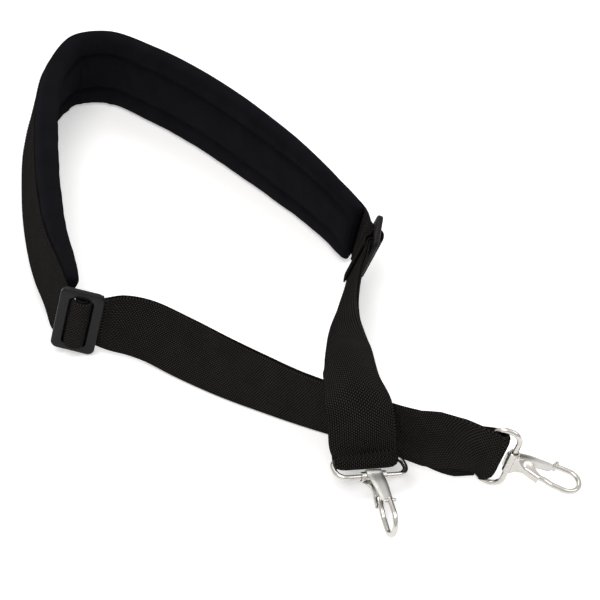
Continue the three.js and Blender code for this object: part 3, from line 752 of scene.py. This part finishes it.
def metal_looks(n, colour, grain_scale, rough):
    place = n.coordinates()["Object"]
    grain = n.group("Surface Grain", Place=place, Grain=grain_scale, Rubbing=260.0)
    return {
        "Base Color": n.mix(grain["Rubbed"], colour, n.scaled(colour, 0.86)),
        "Metallic": n.spread(grain["Rubbed"], 0.0, 1.0, 1.0, 0.97),
        "Roughness": n.spread(grain["Rubbed"], 0.0, 1.0, rough, rough + 0.14),
        "Normal": n.bump(grain["Height"], 0.03, 0.00003),
    }


def nickel_looks(n):
    return metal_looks(n, own_colour("nickel"), 500.0, 0.2)


def spring_looks(n):
    return metal_looks(n, own_colour("spring"), 1100.0, 0.4)


def floor_looks(n):
    tone = n.spread(n.noise(n.coordinates()["Object"], 3.0, 2.0), 0.3, 0.7, 0.985, 1.0)
    return {
        "Base Color": n.scaled((0.93, 0.93, 0.93, 1), tone),
        "Roughness": 0.9,
        "Emission Color": (1, 1, 1, 1),
        "Emission Strength": 0.42,
        "Specular IOR Level": 0.1,
    }


FINISHES = {
    "webbing": ("Woven Webbing", webbing_looks),
    "lining": ("Knitted Lining", lining_looks),
    "thread": ("Sewing Thread", thread_looks),
    "plastic": ("Moulded Plastic", plastic_looks),
    "nickel": ("Nickel Plate", nickel_looks),
    "spring": ("Spring Steel", spring_looks),
    "floor": ("Pale Floor", floor_looks),
}


def material_of(finish):
    """The material of a finish, made on its first use."""
    name, looks = FINISHES[finish]
    material = bpy.data.materials.get(name)
    if material is None:
        material = bpy.data.materials.new(name)
        material.use_nodes = True
        n = Nodes(material.node_tree)
        n.feed(material.node_tree.nodes["Principled BSDF"], looks(n))
    return material


# ---------- the webbing ----------


def adjuster_places(end, rows, steps):
    """Places where the webbing passes an adjuster, in the adjuster's own rigid frame."""
    along, out = catmull(rows, np.linspace(0, 1, steps + 1)).T
    at = ROUTES[end].at(0)
    place = at["place"] + at["along"] * column(along) + at["out"] * column(FRAME_OUT + out)
    n = len(place)
    return strand_rows(place, np.repeat(at["wide"], n, 0), np.repeat(at["out"], n, 0))


def strand_rows(place, wide, out, bow=0, layer=0, slip=0, layered=False, pull=(0, 0, 0)):
    """Rows of a strand: place, wide, out, bow, layer, slip, whether it keeps to its route, and
    how far its edges are pulled back."""
    n = len(place)
    extra = [np.broadcast_to(np.asarray(v, float), n)[:, None] for v in (bow, layer, slip, layered)]
    return np.hstack([place, wide, out, *extra, np.broadcast_to(pull, (n, 3))])


def corner_pull(along, from_fold):
    """The ring's round corners hold the edges of the fold back."""
    return -along * column(FOLD["corner"] * np.exp(-((from_fold / 7) ** 2)))


def layer_offset(from_fold):
    """Half the distance between an end's two layers."""
    f = np.clip((from_fold - FOLD["open"]) / (FOLD["closed"] - FOLD["open"]), 0, 1)
    f = f * f * (3 - 2 * f)
    return FOLD["radius"] + (LAYER / 2 - FOLD["radius"]) * f


def layer_places(end, side):
    """One layer of an end from its adjuster to its ring; side is 1 outside and -1 inside."""
    route = ROUTES[end]
    last = route.length - FOLD["radius"] - LAYERS["fold_tail"]
    first = LAYERS["from_adjuster"]
    distances = np.linspace(first, last, int((last - first) / LAYERS["step"]) + 1)
    from_fold = route.length - distances
    layer = side * layer_offset(from_fold)
    slip = side * np.interp(from_fold, SLIP_FROM, SLIP[end])
    at = route.at(distances)
    place = at["place"] + at["out"] * column(layer)
    pull = corner_pull(at["along"], from_fold)
    return strand_rows(place, at["wide"], at["out"], at["bow"], layer, slip, True, pull)


def fold_places(end):
    """Round the ring's inner bar, from the outside layer to the inside one."""
    route = ROUTES[end]
    angle = np.linspace(0, math.pi, 19)
    from_fold = FOLD["radius"] * (1 - np.sin(angle))
    at = route.at(route.length - from_fold)
    place = at["place"] + at["out"] * column(FOLD["radius"] * np.cos(angle))
    pull = corner_pull(at["along"], from_fold)
    return strand_rows(place, at["wide"], at["out"], pull=pull)


def pad_places():
    """The webbing along the pad, which it outruns by a millimetre at each end."""
    route = ROUTES["pad"]
    inset = END_INSET - 1
    distances = np.linspace(inset, route.length - inset, int(route.length / LAYERS["pad_step"]))
    at = route.at(distances)
    return strand_rows(at["place"], at["wide"], at["out"], layered=True)


def end_places(end):
    """One end of the webbing: through its adjuster, round its ring and back."""
    return np.vstack([
        adjuster_places(end, RUNNING_WEAVE, 80),
        layer_places(end, 1),
        fold_places(end),
        layer_places(end, -1)[::-1],
        adjuster_places(end, RETURN_WEAVE, 100),
    ])


def strand():
    """The whole length of webbing, from its tail at adjuster A to its tail at adjuster B."""
    return np.vstack([end_places("a")[::-1], pad_places(), end_places("b")])


def softened(values, rounds):
    """Values along a strand with their kinks eased."""
    for _ in range(rounds):
        inner = (values[:-2] + 2 * values[1:-1] + values[2:]) / 4
        values = np.vstack([values[:1], inner, values[-1:]])
    return values


def webbing_profile(thickness):
    """The webbing's section with its edges rounded: shares of the half width, and heights."""
    t = thickness / 2
    flat = np.linspace(0.955, -0.955, 15)
    top = [(w, t * (1 - 0.18 * abs(w) ** 14)) for w in flat]
    edge = [(-0.985, t * 0.62), (-1.0, 0.0), (-0.985, -t * 0.62)]
    bottom = [(w, -h) for w, h in top[::-1]]
    other = [(-w, -h) for w, h in edge]
    return np.array(top + edge + bottom + other)


def strand_rings(rows, width, thickness):
    """Rings of the webbing's section along a strand, and the distance along it."""
    place, wide, out = rows[:, 0:3], rows[:, 3:6], rows[:, 6:9]
    bow, layer, slip, layered = rows[:, 9], rows[:, 10], rows[:, 11], rows[:, 12] > 0.5
    wide = unit(softened(wide, 4))
    place = softened(place, 2)
    along = unit(np.gradient(place, axis=0))
    thick = unit(np.cross(wide, along))
    facing = np.sign(np.sum(thick * out, axis=1))
    normal = np.where(column(layered), out * column(facing), thick)
    normal = unit(softened(normal, 3))
    bow = column(np.where(layered, bow * facing, 0))
    layer = column(np.where(layered, layer * facing, 0))
    flat = width / 2
    half = flat - (2 / 3) * bow**2 / flat
    profile = webbing_profile(thickness)
    w = profile[:, 0] + column(slip) / half
    height = layer + profile[:, 1]
    place, wide, normal = place[:, None], wide[:, None], normal[:, None]
    local = unit(normal - wide * (2 * w * bow / half)[:, :, None])
    rings = place + wide * (w * half)[:, :, None] + local * height[:, :, None]
    rings += normal * ((w**2 - 0.5) * bow - layer)[:, :, None]
    edge = np.abs(profile[:, 0]) ** 9
    rings += rows[:, None, 13:16] * edge[None, :, None]
    return rings, lengths(rows[:, 0:3])


def profile_reach(profile, scale):
    """Distance round a section, so a pattern keeps its scale across the width."""
    return lengths(np.vstack([profile, profile[:1]]) * [scale, 1])


def build_webbing():
    """The whole length of webbing, sewn along the pad and threaded through both ends."""
    sizes = bpy.context.scene.strap_sizes
    width, thickness = sizes.webbing_width * 1000, sizes.webbing_thickness * 1000
    rings, reach = strand_rings(strand(), width, thickness)
    around = profile_reach(webbing_profile(thickness), width / 2)
    nodes = ["webbing_middle"] + [f"webbing_{e}_{side}" for e in ENDS for side in ("outer", "inner")]
    piece = Build().sweep(rings, reach * CM, around * CM)
    return piece.finish("strap_webbing", material_of("webbing"), BODY, nodes, "webbing")


# ---------- the pad ----------


def seam_height(width):
    """How far up each seam runs from the pad's middle, where the pad is this wide."""
    return np.minimum(SEAM["at"], width / 2 * SEAM["share"])


def seam_pull(from_end):
    """The seams pull in less towards the pad's ends."""
    return np.minimum(1, 0.45 + from_end / 60)


def pad_profile(from_end, seam_depth):
    """The pad's section: steps up its width and out from the webbing, the same count anywhere."""
    width, thickness = taper(from_end)
    inside = PAD_FACE - thickness
    r = min(PAD_EDGE["radius"], thickness * PAD_EDGE["share"])
    flat = width / 2 - r
    seam = seam_height(width)
    up = flat * np.linspace(1, -1, 41)[1:-1]
    dip = sum(np.exp(-((np.abs(up - s) / SEAM["spread"]) ** 1.35)) for s in (seam, -seam))
    swell = SWELL * np.cos(math.pi * np.minimum(1, np.abs(np.abs(up) - seam) / 14))
    inner = np.stack([up, inside + seam_depth * np.minimum(dip, 1) + swell], axis=1)
    up = flat * np.linspace(-1, 1, 27)[1:-1]
    beyond = np.abs(up) - ROLL_FROM
    share = np.minimum(1, beyond / max(flat - ROLL_FROM, 0.5) * 0.5 + 0.35)
    roll = np.where(beyond > 0, np.maximum(0, 0.9 * np.sin(math.pi * share)), 0)
    return np.vstack([
        arc((flat, PAD_FACE - r), r, 90, 0, 5),
        arc((flat, inside + r), r, 0, -90, 5),
        inner,
        arc((-flat, inside + r), r, 270, 180, 5),
        arc((-flat, PAD_FACE - r), r, 180, 90, 5),
        np.stack([up, PAD_FACE + roll], axis=1),
    ])


def bend_wrinkles(distance, up):
    """How far the lining crumples up its width: folds inside the pad's bend and faint ripples."""
    rise = 0.0
    for k, (middle, spread, height) in enumerate(BEND_FOLDS):
        lean = 0.14 * up * (1 if k % 2 else -1) + 2.2 * np.sin(0.11 * up + k * 1.7)
        rise += height * np.exp(-(((distance - middle + lean) / spread * 2.1) ** 2))
    ripple = 0.22 * np.sin(distance * 0.19 + 0.35 * np.sin(up * 0.13))
    ripple += 0.16 * np.sin(distance * 0.41 + up * 0.21)
    return rise, ripple


def build_pad():
    """The lined foam pad: three sewn channels inside, rolled edges, pinched ends and wrinkles."""
    sizes = bpy.context.scene.strap_sizes
    seam_depth, wrinkle = sizes.seam_depth * 1000, sizes.wrinkle_height * 1000
    route = ROUTES["pad"]
    first, last = END_INSET, route.length - END_INSET
    distances = np.linspace(first, last, 300)
    at = route.at(distances)
    rings = []
    for i, distance in enumerate(distances):
        from_end = min(distance, route.length - distance)
        width, thickness = taper(from_end)
        middle = PAD_FACE - thickness / 2
        close = min(distance - first, last - distance)
        pinch = 0.5 + 0.5 * math.sqrt(1 - (1 - min(close / PINCH, 1)) ** 2)
        up, out = pad_profile(from_end, seam_depth * seam_pull(from_end)).T
        depth = np.maximum(0, (middle - out) / (thickness / 2))
        rise, ripple = bend_wrinkles(distance, up)
        edge = np.cos(np.minimum(np.abs(up) / (width / 2), 1) * math.pi / 2) ** 0.5
        move = (ripple * 0.5 - wrinkle * rise * (0.3 + 0.7 * edge)) * depth
        up = column(up * (0.96 + 0.04 * pinch))
        out = column(middle + (out - middle + move) * pinch)
        rings.append(at["place"][i] + up * at["wide"][i] + out * at["out"][i])
    around = profile_reach(pad_profile(200, seam_depth), 1)
    piece = Build().sweep(rings, distances * CM, around * CM)
    pad = piece.finish("padding", material_of("lining"), BODY, ["shoulder_pad"], "lining")
    return pad


# ---------- stitches ----------


def stitch_tree():
    """Geometry nodes: short rounded stitches, end to end along a line."""
    tree = bpy.data.node_groups.new("Stitch Row", "GeometryNodeTree")
    new_socket = tree.interface.new_socket
    new_socket(name="Geometry", in_out="INPUT", socket_type="NodeSocketGeometry")
    for name, value in (("Pitch", 0.0038), ("Length", 0.003), ("Thickness", 0.0005)):
        socket = new_socket(name=name, in_out="INPUT", socket_type="NodeSocketFloat")
        socket.default_value = value
    new_socket(name="Thread", in_out="INPUT", socket_type="NodeSocketMaterial")
    new_socket(name="Geometry", in_out="OUTPUT", socket_type="NodeSocketGeometry")
    n = Nodes(tree)
    given = n.add("NodeGroupInput").outputs
    curve = n.add("GeometryNodeMeshToCurve", {"Mesh": given["Geometry"]}).outputs["Curve"]
    spacing = {"Curve": curve, "Length": given["Pitch"]}
    points = n.add("GeometryNodeCurveToPoints", spacing, mode="LENGTH").outputs
    bead = n.add("GeometryNodeMeshUVSphere", {"Segments": 6, "Rings": 5, "Radius": 0.5})
    thickness = given["Thickness"]
    size = n.add("ShaderNodeCombineXYZ", {0: thickness, 1: thickness, 2: given["Length"]})
    line_up = {"Vector": points["Tangent"]}
    turn = n.add("FunctionNodeAlignRotationToVector", line_up, axis="Z")
    beads = n.add("GeometryNodeInstanceOnPoints", {
        "Points": points["Points"],
        "Instance": bead.outputs["Mesh"],
        "Rotation": turn.outputs["Rotation"],
        "Scale": size.outputs[0],
    })
    real = n.add("GeometryNodeRealizeInstances", {"Geometry": beads.outputs["Instances"]})
    sewn = {"Geometry": real.outputs["Geometry"], "Material": given["Thread"]}
    dressed = n.add("GeometryNodeSetMaterial", sewn)
    n.add("NodeGroupOutput", {"Geometry": dressed.outputs["Geometry"]})
    return tree


def set_input(modifier, name, value):
    """Sets a modifier's input by the identifier of its socket."""
    for item in modifier.node_group.interface.items_tree:
        if item.item_type == "SOCKET" and item.in_out == "INPUT" and item.name == name:
            modifier[item.identifier] = value
            return
    raise KeyError(name)


def plain_mesh(obj, name):
    """The object's evaluated shape as a plain mesh object; the one with the modifier goes."""
    depsgraph = bpy.context.evaluated_depsgraph_get()
    mesh = bpy.data.meshes.new_from_object(obj.evaluated_get(depsgraph))
    mesh.name = name
    bpy.data.objects.remove(obj)
    return add_object(name, mesh)


def stitch_rows(name, rows):
    """One object of stitches along rows of points, given in the route's millimetres."""
    sizes = bpy.context.scene.strap_sizes
    verts, edges = [], []
    for row in rows:
        first = len(verts)
        verts.extend(metres(row))
        edges.extend((i, i + 1) for i in range(first, len(verts) - 1))
    lines = new_object(name + "_lines", verts, [], edges=edges)
    modifier = lines.modifiers.new("Stitches", "NODES")
    modifier.node_group = stitch_tree()
    set_input(modifier, "Pitch", sizes.stitch_length * 1.25)
    set_input(modifier, "Length", sizes.stitch_length)
    set_input(modifier, "Thickness", sizes.thread_thickness)
    set_input(modifier, "Thread", material_of("thread"))
    stitches = plain_mesh(lines, name)
    stitches.data.polygons.foreach_set("use_smooth", [True] * len(stitches.data.polygons))
    if not len(stitches.data.polygons):
        raise RuntimeError("the stitch rows came out empty")
    join_frame(stitches, BODY, [])
    return stitches


def build_stitches():
    """Two seams on the pad's inside, and the webbing's two edge seams on its outside."""
    route = ROUTES["pad"]
    inset, step = 8.0, 2.0
    distances = np.arange(inset, route.length - inset, step)
    from_end = np.minimum(distances, route.length - distances)
    at = route.at(distances)
    width, thickness = taper(from_end)
    pulled = bpy.context.scene.strap_sizes.seam_depth * 1000 * seam_pull(from_end)
    above = 0.1
    lines = (
        (seam_height(width), PAD_FACE - thickness + pulled + above),
        (np.full_like(width, WEBBING_SEAM["at"]), np.full_like(width, WEBBING_SEAM["out"])),
    )
    rows = []
    for up, out in lines:
        for side in (1, -1):
            rows.append(at["place"] + at["wide"] * column(side * up) + at["out"] * column(out))
    return stitch_rows("seam_stitches", rows)


# ---------- the fittings ----------


def build_adjuster(end):
    """The moulded frame: a rounded ring of plastic with a round-edged bar across its middle."""
    size = ADJUSTER
    half_t = size["thickness"] / 2
    outer_x, outer_y = size["width"] / 2, size["length"] / 2
    inner_x, inner_y = outer_x - size["limb"], size["slot"] / 2
    outer, _ = rounded_path(outer_x, outer_y, size["corner"], 12, 10)
    inner, _ = rounded_path(inner_x, inner_y, size["slot_corner"], 12, 10)

    def edge(base, way, bevel):
        curve = arc((bevel, half_t - bevel), bevel, 180, 90, 4)
        return [(*(base + way * off), z) for off, z in curve]

    rings = []
    for o, i in zip(outer, inner):
        inward = unit(i - o)
        crown = [(*((o + i) / 2), half_t + size["crown"])]
        top = edge(o, inward, size["outer_edge"]) + crown
        top += edge(i, -inward, size["slot_edge"])[::-1]
        rings.append(top + [(x, y, -z) for x, y, z in top[::-1]])
    axes = adjuster_axes(end)
    piece = Build().sweep(in_axes(rings, axes), loop=True)
    section, _ = rounded_path(size["bar"] / 2, half_t, size["bar_edge"], 6)
    half_reach = inner_y + size["bar_root"]
    reach = np.linspace(-half_reach, half_reach, 12)
    bar = [[(x, y, z) for x, z in section] for y in reach]
    piece.sweep(in_axes(bar, axes))
    name = f"adjuster_{end}_moulding"
    return piece.finish(name, material_of("plastic"), BODY, [f"adjuster_{end}"], "plastic", 50)


def build_ring(end):
    """The wire ring: a rounded rectangle of round wire, its butt joint closed."""
    place, reach, bar = ring_frame(end)
    half_y = (RING["length"] - RING["wire"]) / 2
    half_x = (RING["width"] - RING["wire"]) / 2
    path, away = rounded_path(half_x, half_y, RING["corner"], 14, 8)
    path = path - [half_x, 0]
    face = np.cross(reach, bar)
    section = arc((0, 0), RING["wire"] / 2, 0, 360, 20)[:-1]
    rings = []
    for (x, y), (ax, ay) in zip(path, away):
        middle = place + reach * x + bar * y
        out = reach * ax + bar * ay
        rings.append([middle + out * c + face * s for c, s in section])
    piece = Build().sweep(np.array(rings), loop=True)
    return piece.finish(f"ring_{end}_wire", material_of("nickel"), BODY, [f"ring_{end}"], "nickel")


def channel_section(back, half, top, sheet):
    """The channel's section: two walls and a web of bent sheet with rounded rims."""
    t = sheet / 2
    r = min(CHANNEL["corner"], half * 0.4, max(0.3, top - back - 0.55))
    rim = half - t
    wall = max(CHANNEL["narrowest"], rim - CHANNEL["splay"] * (top - back))
    web = back + t
    low = web + r
    start = max(top - t, low + 0.02)
    side = [(start + (low - start) * f, rim + (wall - rim) * f**0.7) for f in np.linspace(0, 1, 6)]
    side += [(y, z) for z, y in arc((wall - r, low), r, 0, -90, 4)[1:-1]]
    floor = [(web, (wall - r) * (1 - 2 * f)) for f in np.linspace(0, 1, 7)]
    line = np.array(side + floor + [(y, -z) for y, z in side[::-1]])
    way = unit(np.gradient(line, axis=0))
    side = np.stack([way[:, 1], -way[:, 0]], axis=1)
    one, other = line + side * t, line - side * t
    rims = line[-1] + way[-1] * t * 0.8, line[0] - way[0] * t * 0.8
    return np.vstack([one, rims[0], other[::-1], rims[1]])


def build_hook_body(end):
    """The hook's body: a roll of sheet round the ring's bar that opens into a channel."""
    rings = []
    for along, back, half, top in catmull(BODY_SECTIONS, np.linspace(0, 1, 43)):
        section = channel_section(back, half, top, HOOK["sheet"])
        rings.append([(along, y, z) for y, z in section])
    axes = hook_axes(end)
    piece = Build().sweep(in_axes(rings, axes))
    half, rim = ROLL["width"] / 2, ROLL["edge"]
    profile = [
        (ROLL["inner"], -half + rim), (ROLL["inner"] + rim, -half), (ROLL["outer"] - rim, -half),
        (ROLL["outer"], -half + rim), (ROLL["outer"], half - rim), (ROLL["outer"] - rim, half),
        (ROLL["inner"] + rim, half), (ROLL["inner"], half - rim),
    ]
    turns = arc((0, 0), 1, 0, 360, 48)[:-1]
    roll = [[(r * c, r * s, z) for r, z in profile] for c, s in turns]
    piece.sweep(in_axes(roll, axes), loop=True)
    name = f"hook_{end}_body"
    return piece.finish(name, material_of("nickel"), f"hook_{end}", [f"hook_body_{end}"], "nickel", 35)


def wire_path():
    """The hook's wire in its own frame: shank in the channel, round bend, and the open tip."""
    along, back = np.array(BODY_SECTIONS, float).T[:2]
    rest = HOOK["sheet"] + GAP + HOOK["wire"] / 2
    shank = [(x, np.interp(x, along, back) + rest) for x in WIRE["shank"]] + [WIRE["rise"]]
    bend = arc((HOOK["bend_centre"], 0), HOOK["bend_radius"], -90, 90, 28)
    flat = np.vstack([catmull(shank, np.linspace(0, 1, 25)), bend, WIRE["tip"]])
    return np.column_stack([flat, np.zeros(len(flat))])


def build_hook_wire(end):
    """The hook's bent wire and the cross head that the gate closes on."""
    axes = hook_axes(end)
    path = wire_path()
    reach = lengths(path)
    radius = HOOK["wire"] / 2
    even = np.linspace(0, reach[-1], 110)
    path = np.stack([np.interp(even, reach, path[:, k]) for k in range(3)], axis=1)
    path[1:-1] = (path[:-2] + 2 * path[1:-1] + path[2:]) / 4
    close = np.minimum(even, reach[-1] - even)
    round_end = radius * np.sqrt(1 - (1 - np.clip((close + 0.12) / 0.9, 0, 1)) ** 2)
    piece = Build().sweep(in_axes(tube(path, round_end, 18, (0, 0, 1)), axes))
    z = np.linspace(-HEAD["half"], HEAD["half"], 15)
    head = np.stack([np.full_like(z, HEAD["along"]), np.full_like(z, HEAD["out"]), z], axis=1)
    past = np.clip((np.abs(z) - HEAD["straight"]) / HEAD["rounding"], 0, 1)
    girth = HEAD["radius"] * np.sqrt(1 - past**2 * 0.8)
    piece.sweep(in_axes(tube(head, girth, 14, (1, 0, 0)), axes))
    name = f"hook_{end}_wire"
    return piece.finish(name, material_of("nickel"), f"hook_{end}", [f"hook_wire_{end}"], "nickel", 45)


def gate_line():
    """The gate's middle line and half width in the hook's frame."""
    r = ROLL["outer"] + GAP + GATE["thickness"] / 2
    curl = [(x, y, GATE["root"]) for x, y in arc((0, 0), r, *GATE["curl"], 5)]
    return catmull(curl + LEAF, np.linspace(0, 1, 65))


def build_gate(end):
    """The gate: a sprung strip, rounded at its tip, that curls over the roll at its root."""
    line = gate_line()
    way = unit(np.gradient(line[:, :2], axis=0))
    side = np.stack([-way[:, 1], way[:, 0]], axis=1)
    reach = lengths(line[:, :2])
    left = reach[-1] - reach
    narrow = np.sqrt(np.clip(1 - (1 - np.clip((left + 0.15) / GATE["tip"], 0, 1)) ** 2, 0.04, 1))
    t, edge = GATE["thickness"] / 2, GATE["edge"]
    rings = []
    for (x, y, half), (sx, sy), n in zip(line, side, narrow):
        w = half * n
        section = [(t, w - edge), (t * 0.5, w), (-t * 0.5, w), (-t, w - edge)]
        section += [(-t, w * 0.33), (-t, -w * 0.33)]
        section += [(-t, -w + edge), (-t * 0.5, -w), (t * 0.5, -w), (t, -w + edge)]
        section += [(t * 1.25, -w * 0.33), (t * 1.25, w * 0.33)]
        rings.append([(x + sx * h, y + sy * h, z) for h, z in section])
    piece = Build().sweep(in_axes(rings, hook_axes(end)))
    name = f"gate_{end}_strip"
    return piece.finish(name, material_of("spring"), f"gate_{end}", [f"gate_{end}"], "spring_steel", 40)


# ---------- the stage ----------


def area_light(name, place, size, power, colour):
    """A round soft light that shines at the middle of the floor."""
    data = bpy.data.lights.new(name, "AREA")
    data.shape = "DISK"
    data.size = size
    data.energy = power
    data.color = colour
    lamp = add_object(name, data)
    lamp.location = place
    lamp.rotation_euler = (-Vector(place)).to_track_quat("-Z", "Y").to_euler()


def add_camera():
    """A camera before the strap that looks down at it."""
    elevation = math.radians(CAMERA["elevation"])
    data = bpy.data.cameras.new("camera")
    data.lens = CAMERA["lens"]
    data.sensor_width = CAMERA["sensor"]
    camera = add_object("camera", data)
    back = Vector((0, -math.cos(elevation), math.sin(elevation)))
    camera.location = Vector(SHIFT / 1000) + back * CAMERA["distance"]
    camera.rotation_euler = (math.pi / 2 - elevation, 0, 0)
    bpy.context.scene.camera = camera


def add_world():
    """Soft light from all round, paler above, and brighter in what the metal mirrors."""
    world = bpy.data.worlds.new("studio")
    world.use_nodes = True
    n = Nodes(world.node_tree)
    height = n.split(n.coordinates()["Generated"])[2]
    seen = n.spread(height, 0.05, 0.9, 0.34, 0.52)
    mirrored = n.times(n.add("ShaderNodeLightPath").outputs["Is Glossy Ray"], 0.75)
    strength = n.math("MULTIPLY_ADD", seen, mirrored, seen)
    background = world.node_tree.nodes["Background"]
    n.feed(background, {"Color": (1.0, 0.985, 0.965, 1), "Strength": strength})
    bpy.context.scene.world = world


def build_stage():
    """The pale floor, the camera and the soft lights."""
    half = 3.0
    verts = [(-half, -half, 0), (half, -half, 0), (half, half, 0), (-half, half, 0)]
    floor = new_object("floor", verts, [(0, 1, 2, 3)], smooth=False)
    floor.data.materials.append(material_of("floor"))
    add_camera()
    for light in LIGHTS:
        area_light(*light)
    add_world()
    bpy.context.scene.view_settings.view_transform = "Standard"


# ---------- operators ----------


class STRAP_OT_stage(bpy.types.Operator):
    """Makes the floor, the camera and the lights."""

    bl_idname = "strap.stage"
    bl_label = "Stage"

    def execute(self, context):
        build_stage()
        return {"FINISHED"}


class STRAP_OT_pad(bpy.types.Operator):
    """Builds the lined foam pad."""

    bl_idname = "strap.pad"
    bl_label = "Pad"

    def execute(self, context):
        build_pad()
        return {"FINISHED"}


class STRAP_OT_webbing(bpy.types.Operator):
    """Builds the whole length of webbing."""

    bl_idname = "strap.webbing"
    bl_label = "Webbing"

    def execute(self, context):
        build_webbing()
        return {"FINISHED"}


class STRAP_OT_stitches(bpy.types.Operator):
    """Sews the pad's seams and the webbing's edges."""

    bl_idname = "strap.stitches"
    bl_label = "Stitches"

    def execute(self, context):
        build_stitches()
        return {"FINISHED"}


class STRAP_OT_adjusters(bpy.types.Operator):
    """Builds the moulded adjuster of each end."""

    bl_idname = "strap.adjusters"
    bl_label = "Adjusters"

    def execute(self, context):
        for end in ENDS:
            build_adjuster(end)
        return {"FINISHED"}


class STRAP_OT_rings(bpy.types.Operator):
    """Builds the wire ring of each end."""

    bl_idname = "strap.rings"
    bl_label = "Rings"

    def execute(self, context):
        for end in ENDS:
            build_ring(end)
        return {"FINISHED"}


class STRAP_OT_hook_bodies(bpy.types.Operator):
    """Builds the sheet-metal body of each hook."""

    bl_idname = "strap.hook_bodies"
    bl_label = "Hook Bodies"

    def execute(self, context):
        for end in ENDS:
            build_hook_body(end)
        return {"FINISHED"}


class STRAP_OT_hook_wires(bpy.types.Operator):
    """Builds the bent wire of each hook."""

    bl_idname = "strap.hook_wires"
    bl_label = "Hook Wires"

    def execute(self, context):
        for end in ENDS:
            build_hook_wire(end)
        return {"FINISHED"}


class STRAP_OT_gates(bpy.types.Operator):
    """Builds the sprung gate of each hook."""

    bl_idname = "strap.gates"
    bl_label = "Gates"

    def execute(self, context):
        for end in ENDS:
            build_gate(end)
        return {"FINISHED"}


STEPS = [
    STRAP_OT_stage, STRAP_OT_pad, STRAP_OT_webbing, STRAP_OT_stitches, STRAP_OT_adjusters,
    STRAP_OT_rings, STRAP_OT_hook_bodies, STRAP_OT_hook_wires, STRAP_OT_gates,
]


class STRAP_PT_panel(bpy.types.Panel):
    """Lists the strap's settings and the steps that build it."""

    bl_idname = "STRAP_PT_panel"
    bl_label = "Drum Shoulder Strap"
    bl_space_type = "VIEW_3D"
    bl_region_type = "UI"
    bl_category = "Strap"

    def draw(self, context):
        layout = self.layout
        for settings in (context.scene.strap_sizes, context.scene.strap_colours):
            box = layout.box()
            for key in settings.bl_rna.properties.keys():
                if key not in ("rna_type", "name"):
                    box.prop(settings, key)
        for step in STEPS:
            layout.operator(step.bl_idname)


CLASSES = [StrapSizes, StrapColours, *STEPS, STRAP_PT_panel]


def register():
    for cls in CLASSES:
        bpy.utils.register_class(cls)
    bpy.types.Scene.strap_sizes = bpy.props.PointerProperty(type=StrapSizes)
    bpy.types.Scene.strap_colours = bpy.props.PointerProperty(type=StrapColours)


def unregister():
    del bpy.types.Scene.strap_colours
    del bpy.types.Scene.strap_sizes
    for cls in reversed(CLASSES):
        bpy.utils.unregister_class(cls)


def main():
    register()
    bpy.ops.strap.stage()
    bpy.ops.strap.pad()
    bpy.ops.strap.webbing()
    bpy.ops.strap.stitches()
    bpy.ops.strap.adjusters()
    bpy.ops.strap.rings()
    bpy.ops.strap.hook_bodies()
    bpy.ops.strap.hook_wires()
    bpy.ops.strap.gates()


if __name__ == "__main__":
    main()
